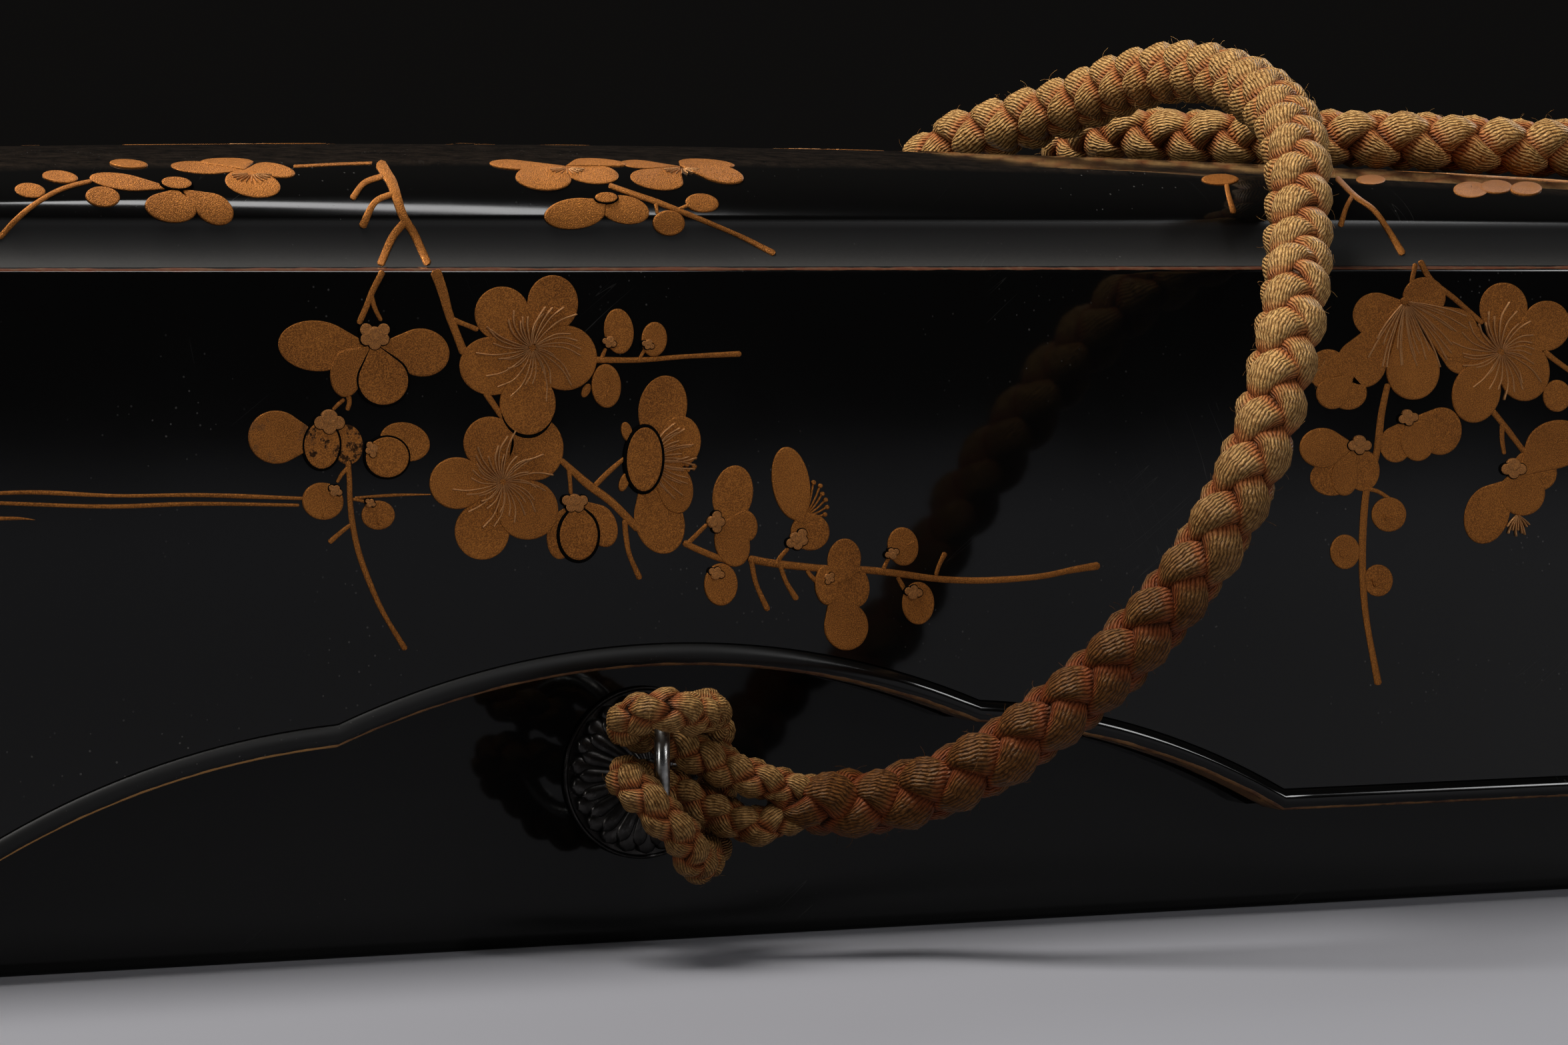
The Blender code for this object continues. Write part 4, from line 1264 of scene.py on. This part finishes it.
for relief, widths, knots in (
    (1.4, [8, 9, 8, 7, 9], [(915, 279), (955, 293), (1000, 309), (1100, 350), (1160, 380)]),
    (1.2, [6, 5], [(983, 302), (986, 320)]),
    (1.2, [5, 5], [(1018, 314), (1032, 308)]),
    (1.4, [8, 8, 8, 9, 11], [(2006, 268), (2033, 295), (2060, 315), (2080, 342), (2103, 380)]),
    (1.3, [7, 7, 9], [(2028, 295), (2019, 312), (2011, 338)]),
    (1.3, [7, 7, 9], [(1838, 264), (1842, 290), (1850, 318)]),
):
    brow.stroke(knots, widths, relief)
for petal in (
        (2206, 285, 26, 12), (2244, 281, 24, 10), (2289, 284, 24, 10), (2056, 270, 22, 7),
        (1830, 270, 28, 8)):
    brow.petal(*petal)
lay(brow, "front_brow_gold", on_front_shoulder)
lay(brow, "rear_brow_gold", on_front_shoulder, turned=True)

# %% [markdown]
# ### The dome
# The same tree goes on over the top, where it is seen from above. Its flowers are drawn in a plan of the
# lid, in steps as large as a pixel of the photograph is on the wall.

# %% Sprays on the dome
PLAN_STEP = 0.13 * MM
PLAN_REAR = 34.0            # the sprays lie this many steps behind the middle
PLAN_RELIEF = 0.35          # and are flatter than those on the wall


def on_dome(x, y, height):
    """A point of the plan on the dome; y grows towards the front."""
    across, depth = x * PLAN_STEP, (PLAN_REAR - y) * PLAN_STEP
    return (across, depth, dome_height(across, depth) + PLAN_RELIEF * height)


dome = Sheet()
for relief, widths, knots in (
    (1.5, [19, 18, 16, 14, 12, 10, 9], [(-1010, 170), (-930, 90), (-850, 30), (-740, -20), (-640, -60),
     (-520, -66), (-410, -30)]),
    (1.4, [12, 11, 9, 9], [(-880, 50), (-820, 110), (-740, 140), (-660, 146)]),
    (1.4, [11, 10, 9, 8], [(-770, -10), (-760, -80), (-720, -140), (-650, -176)]),
    (1.5, [13, 13, 12, 12, 11, 10, 9], [(-330, 40), (-220, 30), (-110, -10), (10, -40), (140, -36), (260, 0),
     (370, 52)]),
    (1.3, [9, 8, 8], [(-60, -30), (-70, -90), (-110, -130)]),
    (1.3, [9, 8, 8], [(120, -38), (160, -84), (210, -104)]),
    (1.5, [16, 15, 13, 11, 9], [(1010, -130), (940, -70), (880, 0), (850, 70), (856, 130)]),
    (1.3, [10, 9, 8], [(900, -30), (940, 20), (1000, 40)]),
    (1.4, [11, 10, 9], [(430, -60), (500, -30), (560, 24)]),
):
    dome.stroke(knots, widths, relief)
for seed, (x, y, size, turn) in enumerate((
        (-905, -70, 96, 8), (-660, 92, 84, 30), (-560, -90, 80, -14), (-200, 4, 70, 20), (70, -20, 68, 50),
        (300, 20, 68, 5), (930, 130, 86, 12), (960, -96, 80, 40), (470, -20, 72, 26))):
    dome.open_flower(x, y, size, turn, 30 + seed)
for x, y, size, turn in ((-640, -176, 24, 30), (-430, -56, 26, 10), (-770, 150, 24, -30), (-395, -4, 24, 40),
                         (-112, -140, 26, 0), (216, -112, 26, 60), (-30, 40, 22, 20), (392, 66, 22, 0),
                         (1008, 44, 26, 30), (842, 60, 24, -20), (566, 44, 24, 10), (-560, 20, 22, 0)):
    dome.petal(x, y, size, 1.15 * size, turn)
    dome.calyx(x - 0.5 * size, y + 0.6 * size, 0.38 * size, turn)
lay(dome, "dome_gold", on_dome)

# %% [markdown]
# ## Metal fittings
# A cast chrysanthemum plate sits in each arch: two rows of long petals inside a thin rim. The petals
# repeat round a circle, so a Geometry Nodes tree sets one modelled petal on each point of a ring.

# %% A ring of petals with Geometry Nodes
def start_tree(name, *inputs):
    """A Geometry Nodes tree with named inputs, and its first node."""
    tree = bpy.data.node_groups.new(name, "GeometryNodeTree")
    tree.is_modifier = True
    for label, kind in (("Geometry", "Geometry"), *inputs, ("Finish", "Material")):
        tree.interface.new_socket(label, in_out="INPUT", socket_type="NodeSocket" + kind)
    tree.interface.new_socket("Geometry", in_out="OUTPUT", socket_type="NodeSocketGeometry")
    graph = Graph(tree)
    return graph, graph.add("NodeGroupInput")


def end_tree(graph, start, copies):
    """Makes the copies real and sets their material."""
    real = graph.get("Geometry", "GeometryNodeRealizeInstances", Geometry=copies)
    painted = graph.get("Geometry", "GeometryNodeSetMaterial", Geometry=real,
                        Material=graph.out(start, "Finish"))
    graph.add("NodeGroupOutput", Geometry=painted)
    return graph.tree


def petal_ring_tree():
    """Sets copies of a petal round the Y axis."""
    graph, start = start_tree("petal_ring", ("Petals", "Int"), ("Start Angle", "Float"))
    count = graph.out(start, "Petals")
    points = graph.get("Mesh", "GeometryNodeMeshLine", Count=count, Offset=(0.0, 0.0, 0.0))
    angle = graph.get("Index", "GeometryNodeInputIndex") / count * math.tau + graph.out(start, "Start Angle")
    copies = graph.get("Instances", "GeometryNodeInstanceOnPoints", Points=points,
                       Instance=graph.out(start, "Geometry"),
                       Rotation=graph.get("Vector", "ShaderNodeCombineXYZ", Y=angle))
    return end_tree(graph, start, copies)


PETAL_RING = petal_ring_tree()


def run_nodes(made, tree, **values):
    """Runs a tree on an object and leaves a plain mesh."""
    change = made.modifiers.new(tree.name, "NODES")
    change.node_group = tree
    for item in tree.interface.items_tree:
        name = item.name.replace(" ", "_")
        if item.item_type == "SOCKET" and item.in_out == "INPUT" and name in values:
            change[item.identifier] = values[name]
    graph = bpy.context.evaluated_depsgraph_get()
    mesh = bpy.data.meshes.new_from_object(made.evaluated_get(graph), depsgraph=graph)
    made.modifiers.clear()
    made.data = mesh
    return made


print("tree:", PETAL_RING.name)

# %% One petal of the rosette
rosette_low, rosette_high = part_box("front_rosette")
ROSETTE_RADIUS = (rosette_high.x - rosette_low.x) / 2
ROSETTE_HEIGHT = rosette_high.y - rosette_low.y
FITTING_HEIGHT = (rosette_high.z + rosette_low.z) / 2
WALL_GAP = 0.3 * MM
PETALS = 22


def rosette_petal(name, near, far, width, lift, slope):
    """A long round-ended petal in the X direction that stands out towards -Y, with a closed back."""
    rows, cols = 14, 10
    points, faces = [], []
    for i in range(rows + 1):
        u = i / rows
        reach = near + (far - near) * u
        round_end = max(math.sqrt(max(1 - max((u - 0.74) / 0.26, 0.0) ** 2, 0.0)), 0.03)
        half = width / 2 * (0.42 + 0.58 * u) * round_end
        for j in range(cols + 1):
            v = -1 + 2 * j / cols
            bulge = math.sqrt(max(1 - v * v, 0.0)) * (0.35 + 0.65 * round_end)
            points.append((reach, -lift * (1 - slope * u) * (0.66 + 0.34 * bulge), v * half))
    count = len(points)
    points += [(x, 0.0, z) for x, y, z in points]
    for side in (0, count):
        faces += band(side, rows + 1, cols + 1, across=False)
    border = list(range(cols)) + [i * (cols + 1) + cols for i in range(rows)]
    border += [rows * (cols + 1) + j for j in range(cols, 0, -1)]
    border += [i * (cols + 1) for i in range(rows, 0, -1)]
    for a, b in zip(border, border[1:] + border[:1]):
        faces.append((a, b, b + count, a + count))
    return new_object(name, points, faces, sharp=50.0, merge=1e-7)


def turned_plate(name, profile, steps=96):
    """A disc turned round the Y axis from (radius, depth) points, closed at its middle."""
    turns = [math.tau * i / steps for i in range(steps)]
    points = []
    for radius, depth in profile:
        points += [(radius * math.cos(a), -depth, radius * math.sin(a)) for a in turns]
    last = (len(profile) - 1) * steps
    faces = band(0, len(profile), steps) + [tuple(range(steps)), tuple(range(last, last + steps))]
    return new_object(name, points, faces, COPPER, sharp=35.0)


def join(name, parts):
    """Joins meshes of the same metal into one object at the origin."""
    bm = bmesh.new()
    for part in parts:
        bm.from_mesh(part.data)
        bpy.data.objects.remove(part)
    mesh = bpy.data.meshes.new(name)
    bm.to_mesh(mesh)
    bm.free()
    mesh.materials.append(COPPER)
    made = bpy.data.objects.new(name, mesh)
    scene.collection.objects.link(made)
    return made


def on_body_wall(side):
    """Places a fitting against the body's front or rear wall."""
    turn = Matrix.Rotation(math.pi if side > 0 else 0.0, 4, "Z")
    return Matrix.Translation((0.0, side * (BODY_HALF_WIDTH + WALL_GAP), FITTING_HEIGHT)) @ turn


def build_rosette(where, side):
    """The plate, its two rows of petals and its boss, against the body's wall."""
    R, H = ROSETTE_RADIUS, ROSETTE_HEIGHT
    outer = rosette_petal("outer_petal", 0.50 * R, 0.935 * R, 0.262 * R, 0.70 * H, 0.30)
    run_nodes(outer, PETAL_RING, Petals=PETALS, Start_Angle=math.pi / PETALS, Finish=COPPER)
    inner = rosette_petal("inner_petal", 0.18 * R, 0.85 * R, 0.236 * R, 0.98 * H, 0.30)
    run_nodes(inner, PETAL_RING, Petals=PETALS, Start_Angle=0.0, Finish=COPPER)
    plate = turned_plate("plate", [
        (0.05 * R, 0.0), (0.995 * R, 0.0), (1.0 * R, 0.06 * H), (0.99 * R, 0.14 * H), (0.975 * R, 0.16 * H),
        (0.96 * R, 0.13 * H), (0.95 * R, 0.08 * H), (0.30 * R, 0.10 * H), (0.05 * R, 0.10 * H)])
    boss = turned_plate("boss", [
        (0.16 * R, 0.1 * H), (0.2 * R, 0.6 * H), (0.19 * R, 0.85 * H), (0.15 * R, 0.98 * H),
        (0.05 * R, H)], 40)
    made = join(where + "_chrysanthemum", [outer, inner, plate, boss])
    made.data.transform(on_body_wall(side))
    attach(made, "root")
    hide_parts(where + "_rosette")
    return made


for where, side in (("front", -1), ("rear", 1)):
    print("rosette:", len(build_rosette(where, side).data.polygons), "faces")

# %% [markdown]
# ## Rings and pins
# A pin with an eye goes through each rosette, and a loose ring hangs in the eye. The cord's hitch pulls
# the ring out and to the left, so it is seen nearly edge on. Both are bent wire: a circle swept round a
# circle.

# %% Wire rings
EYE_RADIUS = 2.6 * MM
EYE_WIRE = 0.6 * MM
RING_RADIUS = 7.0 * MM
RING_WIRE = 0.8 * MM
RING_TURN = math.radians(25.2)
RING_LIFT = math.radians(25.0)
EYE_LIFT = math.radians(16.0)
PIN_RADIUS = 1.1 * MM


def wire_ring(name, radius, wire, place, finish):
    """A round wire bent to a circle."""
    around, sides = 72, 18
    points = []
    for i in range(around + 1):
        a = math.tau * (i % around) / around
        for j in range(sides):
            b = math.tau * j / sides
            reach = radius + wire * math.cos(b)
            spot = Vector((reach * math.cos(a), reach * math.sin(a), wire * math.sin(b)))
            points.append(tuple(place @ spot))
    return new_object(name, points, band(0, around + 1, sides), finish, merge=1e-7)


def ring_frame(side, lift=RING_LIFT):
    """The ring's directions across and outwards, its eye's place, and its outermost point."""
    across = Vector((math.cos(RING_TURN), side * math.sin(RING_TURN), 0.0))
    outwards = Vector((-math.sin(RING_TURN), side * math.cos(RING_TURN), 0.0))
    stand = WALL_GAP + ROSETTE_HEIGHT + WALL_GAP + EYE_RADIUS + EYE_WIRE
    eye = Vector((0.0, side * (BODY_HALF_WIDTH + stand), FITTING_HEIGHT))
    rise = Vector((0.0, 0.0, RING_RADIUS * math.sin(lift)))
    outermost = eye + outwards * RING_RADIUS * (math.cos(lift) + 1.0) + rise
    return across, outwards, eye, outermost


for where, side in (("front", -1), ("rear", 1)):
    across, outwards, eye, outermost = ring_frame(side, EYE_LIFT)
    pin_eye = wire_ring(where + "_eye", EYE_RADIUS, EYE_WIRE, Matrix.Translation(eye), COPPER)
    shank = turned_plate("shank", [
        (PIN_RADIUS, -WALL_GAP - 2.0 * MM), (PIN_RADIUS, ROSETTE_HEIGHT + 0.4 * MM),
        (0.5 * PIN_RADIUS, ROSETTE_HEIGHT + 0.7 * MM)], 24)
    shank.data.transform(on_body_wall(side))
    pin = join(where + "_pin", [pin_eye, shank])
    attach(pin, "root")
    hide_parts(where + "_ring_pin")
    upright = Matrix((outwards, (0.0, 0.0, 1.0), across)).transposed().to_4x4()
    upright = Matrix.Translation(outermost - outwards * RING_RADIUS) @ upright
    ring = wire_ring(where + "_wire_ring", RING_RADIUS, RING_WIRE, upright, SILVER)
    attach(ring, "root")
    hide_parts(where + "_ring")
print("rings and pins in place")

# %% [markdown]
# ## The braided cord
# The cord is a round braid of four fat strands. Two go round to the left and two to the right, and each
# goes over and under the others in turn, which gives columns of plump lobes that lean against each other.
# Each strand is a tube whose middle swings round the cord's own line and in and out of it. Fine hairs of
# silk stand off it, set by Geometry Nodes.

# %% Four strands round a line
# Shares of the braid's radius: how far a strand stands off its line, how much it weaves in and out, and
# its two half widths
STRAND_REACH = 0.40
STRAND_WEAVE = 0.21
STRAND_THICK = 0.40
STRAND_WIDE = 0.55
STRAND_BOW = 0.27           # how much longer a strand stays outside than inside
STRAND_SQUARE = 0.10        # how far its section bulges towards a square
LOBE_STEP = 5.8 * MM
EYE_LOBE_STEP = 3.2 * MM


def carried_frames(line):
    """A direction and two sideways directions at each point of a line, turning as little as they can."""
    along = np.gradient(line, axis=0)
    along /= np.linalg.norm(along, axis=1)[:, None]
    side = np.zeros_like(line)
    start = np.cross(along[0], (0.0, 0.0, 1.0))
    side[0] = start / np.linalg.norm(start)
    for i in range(1, len(line)):
        carried = side[i - 1] - along[i] * np.dot(side[i - 1], along[i])
        side[i] = carried / np.linalg.norm(carried)
    return along, side, np.cross(along, side)


def braid(name, knots, radius, lobe, sides, per_turn, start_turn, finish, taper=0.6, fuller=0.0):
    """Four strands braided round a smooth line. lobe is the distance between lobes in a column."""
    pitch = 2 * lobe
    line, length = smooth_line(knots, pitch / per_turn)
    far = np.linspace(0, length, len(line))
    along, side, other = carried_frames(line)
    phase = math.tau * far / pitch
    end_taper = np.clip(np.minimum(far, length - far) / (taper * radius), 0, 1)
    swell = 1 + fuller * np.clip((np.minimum(far, length - far) - 2.5 * radius) / (3 * radius), 0, 1)
    local = radius * swell * (0.35 + 0.65 * end_taper)
    points, faces, uv, crest = [], [], [], []
    for strand in range(4):
        way = 1 if strand < 2 else -1
        shift = 0.0 if way > 0 else math.pi
        turn = way * (phase - STRAND_BOW * np.sin(2 * phase + shift)) + math.pi * (strand % 2) + start_turn
        weave = STRAND_REACH + STRAND_WEAVE * np.cos(2 * phase + shift)
        reach = radius * swell * weave * (0.4 + 0.6 * end_taper)
        outwards = side * np.cos(turn)[:, None] + other * np.sin(turn)[:, None]
        middle = line + outwards * reach[:, None]
        run = np.gradient(middle, axis=0)
        run /= np.linalg.norm(run, axis=1)[:, None]
        out = outwards - run * np.sum(outwards * run, axis=1)[:, None]
        out /= np.linalg.norm(out, axis=1)[:, None]
        flat = np.cross(run, out)
        pick = random.Random(strand * 7 + len(line))
        slow = [pick.uniform(0.0, math.tau) for _ in range(3)]
        uneven = 1 + 0.05 * np.sin(phase * 0.61 + slow[0]) + 0.05 * np.sin(phase * 1.37 + slow[1])
        body_size = radius * np.sqrt(np.clip(end_taper, 0.02, 1)) * swell
        thick = STRAND_THICK * body_size * uneven
        wide = STRAND_WIDE * body_size * (1 + 0.05 * np.sin(phase * 0.83 + slow[2]))
        base = len(points)
        for k in range(sides):
            a = math.tau * k / sides
            square = 1 + STRAND_SQUARE * math.sin(2 * a) ** 2
            ring = middle + out * (thick * square * math.cos(a))[:, None]
            ring = ring + flat * (wide * square * math.sin(a))[:, None]
            points += ring.tolist()
            crest += (np.linalg.norm(ring - line, axis=1) / local).tolist()
        rows = len(line)
        for k in range(sides):
            j = (k + 1) % sides
            for i in range(rows - 1):
                p, q = base + k * rows + i, base + j * rows + i
                faces.append((p, q, q + 1, p + 1))
                u0, u1 = far[i] / pitch, far[i + 1] / pitch
                v0, v1 = way * k / sides, way * (k + 1) / sides
                uv += [u0, v0, u0, v1, u1, v1, u1, v0]
        for i, order in ((0, 1), (rows - 1, -1)):
            faces.append(tuple(base + k * rows + i for k in range(sides))[::order])
            uv += [0.0, 0.0] * sides
    made = new_object(name, points, faces, finish, recalc=False)
    made.data.uv_layers.new(name="strand").data.foreach_set("uv", uv)
    made.data.attributes.new("crest", "FLOAT", "POINT").data.foreach_set("value", crest)
    print(name + ":", len(faces), "faces,", round(length, 3), "m")
    return made, line, length


def fuzz_tree():
    """Sets short bent fibres on the outer faces of a braid and joins them to it."""
    graph, start = start_tree("silk_fuzz", ("Density", "Float"), ("Fibre Length", "Float"))
    silk = graph.out(start, "Geometry")
    crest = graph.get("Attribute", "GeometryNodeInputNamedAttribute", [("data_type", "FLOAT")], Name="crest")
    spread = graph.add("GeometryNodeDistributePointsOnFaces", Mesh=silk, Selection=crest > 0.84,
                       Density=graph.out(start, "Density"), Seed=11)
    bent = graph.get("Curve", "GeometryNodeCurveQuadraticBezier", Resolution=3, Start=(0.0, 0.0, -0.02),
                     Middle=(0.15, 0.0, 0.45), End=(0.85, 0.0, 0.55))
    section = graph.get("Curve", "GeometryNodeCurvePrimitiveCircle", Resolution=3, Radius=0.012)
    fibre = graph.get("Mesh", "GeometryNodeCurveToMesh", Curve=bent, Profile_Curve=section)
    fibre = graph.get("Geometry", "GeometryNodeStoreNamedAttribute", [("data_type", "FLOAT")], Geometry=fibre,
                      Name="crest", Value=1.0)
    size = graph.get("Value", "FunctionNodeRandomValue", [("data_type", "FLOAT")], Min=0.35, Max=1.25)
    lean = graph.get("Value", "FunctionNodeRandomValue", [("data_type", "FLOAT_VECTOR")],
                     Min=(-0.5, -0.5, 0.0), Max=(0.5, 0.5, math.tau))
    copies = graph.get("Instances", "GeometryNodeInstanceOnPoints", Points=graph.out(spread, "Points"),
                       Instance=fibre, Rotation=graph.out(spread, "Rotation"),
                       Scale=size * graph.out(start, "Fibre Length"))
    copies = graph.get("Instances", "GeometryNodeRotateInstances", Instances=copies, Rotation=lean)
    both = graph.add("GeometryNodeJoinGeometry", Geometry=copies)
    graph.fill(both, Geometry=silk)
    return end_tree(graph, start, graph.out(both, "Geometry"))


FUZZ = fuzz_tree()
cord, cord_path, cord_length = braid(
    "silk_cord", CORD_ROUTE, CORD_DIAMETER / 2, LOBE_STEP, 16, 18, math.radians(135), SILK, taper=1.6)
run_nodes(cord, FUZZ, Density=170000.0, Fibre_Length=1.3 * MM, Finish=SILK)
print("cord with fuzz:", sum(len(f.vertices) - 2 for f in cord.data.polygons), "triangles")
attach(cord, "root")
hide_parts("cord")
for where, side in (("front", -1), ("rear", 1)):
    across, outwards, eye, outermost = ring_frame(side)
    level = Vector((outermost.x, outermost.y, 0.0))
    into_cord = [(0.0165, -0.0060, 0.0163), (0.0132, -0.0054, 0.0171)]
    out_of_cord = [(0.0132, -0.0054, 0.0147), (0.0165, -0.0060, 0.0153)]
    whole = into_cord + EYE_ROUTE + out_of_cord
    knots = [level + across * a + outwards * o + Vector((0.0, 0.0, z)) for a, o, z in whole]
    made, _, _ = braid(
        where + "_eye_braid", knots, EYE_DIAMETER / 2, EYE_LOBE_STEP, 16, 20, 0.6, EYE_SILK, fuller=0.08)
    run_nodes(made, FUZZ, Density=150000.0, Fibre_Length=0.9 * MM, Finish=EYE_SILK)
    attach(made, "root")
    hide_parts(where + "_cord_eye")

# %% [markdown]
# ## Floor, light and background
# Black lacquer shows its surroundings, so the light is part of the finish. The table is pale, and the wall
# mirrors the part of it in front of the box, so that part has a dim lamp of its own. A slanted strip of
# light draws the line on the shoulder, and a soft lamp overhead lights the gold and the silk.

# %% Table
TABLE_CORNERS = [(-1.8, -1.4, 0.0), (2.2, -1.4, 0.0), (2.2, 1.6, 0.0), (-1.8, 1.6, 0.0)]


def table_top():
    """A pale grey table with a faint change of tone."""
    made, graph, place = new_material("pale_table")
    tone = graph.noise(place, 9.0, 4.0)
    graph.finish(Base_Color=graph.mix(tone, (0.212, 0.214, 0.236), (0.230, 0.232, 0.256)), Roughness=0.6)
    return made


table = new_object("table", TABLE_CORNERS, [(0, 1, 2, 3)], table_top(), recalc=False)

# %% Lamps and background


def lamp(name, place, aim, size, power, colour=(1.0, 1.0, 1.0), along=None):
    """A soft rectangular lamp that looks at a point. along turns its long side that way."""
    data = bpy.data.lights.new(name, "AREA")
    data.shape = "RECTANGLE"
    data.size, data.size_y = size
    data.energy = power
    data.color = colour
    made = bpy.data.objects.new(name, data)
    made.location = place
    look = Vector(aim) - Vector(place)
    made.rotation_euler = look.to_track_quat("-Z", "Y").to_euler()
    if along:
        back = -look.normalized()
        right = (Vector(along) - back * back.dot(Vector(along))).normalized()
        made.rotation_euler = Matrix((right, back.cross(right), back)).transposed().to_euler()
    scene.collection.objects.link(made)
    return made


lamp("overhead", (-0.17, 0.03, 0.64), (0.05, -0.01, 0.06), (0.34, 0.30), 6.3, (1.0, 0.97, 0.93))
lamp("right_side", (0.80, -1.03, 0.40), (0.04, -0.05, 0.03), (0.14, 0.30), 0.35, (0.98, 0.98, 1.0))
lamp("bead_glint", (0.80, -1.02, 0.40), (0.05, -0.05, 0.02), (0.10, 0.22), 1.1)
lamp("left_side", (-0.95, -0.40, 0.30), (0.0, -0.05, 0.02), (0.10, 0.10), 1.1, (1.0, 0.98, 0.95))
lamp("shoulder_glow", (0.37, -0.83, 0.80), (-0.04, -0.03, 0.075), (0.71, 0.06), 2.3,
     along=(0.185, -0.43, -0.53))
lamp("right_back", (0.85, 0.50, 0.62), (0.06, -0.04, 0.03), (0.18, 0.18), 1.7, (0.94, 0.97, 1.0))
table_lamp = lamp("table_front", (0.45, -1.00, 1.2), (0.45, -1.00, 0.0), (1.6, 0.7), 5.0)
table_lamp.data.spread = math.radians(70)
world = bpy.data.worlds.new("dark_room")
world.use_nodes = True
world.node_tree.nodes["Background"].inputs["Color"].default_value = (0.0045, 0.0042, 0.0040, 1.0)
scene.world = world
scene.view_settings.view_transform = "Standard"
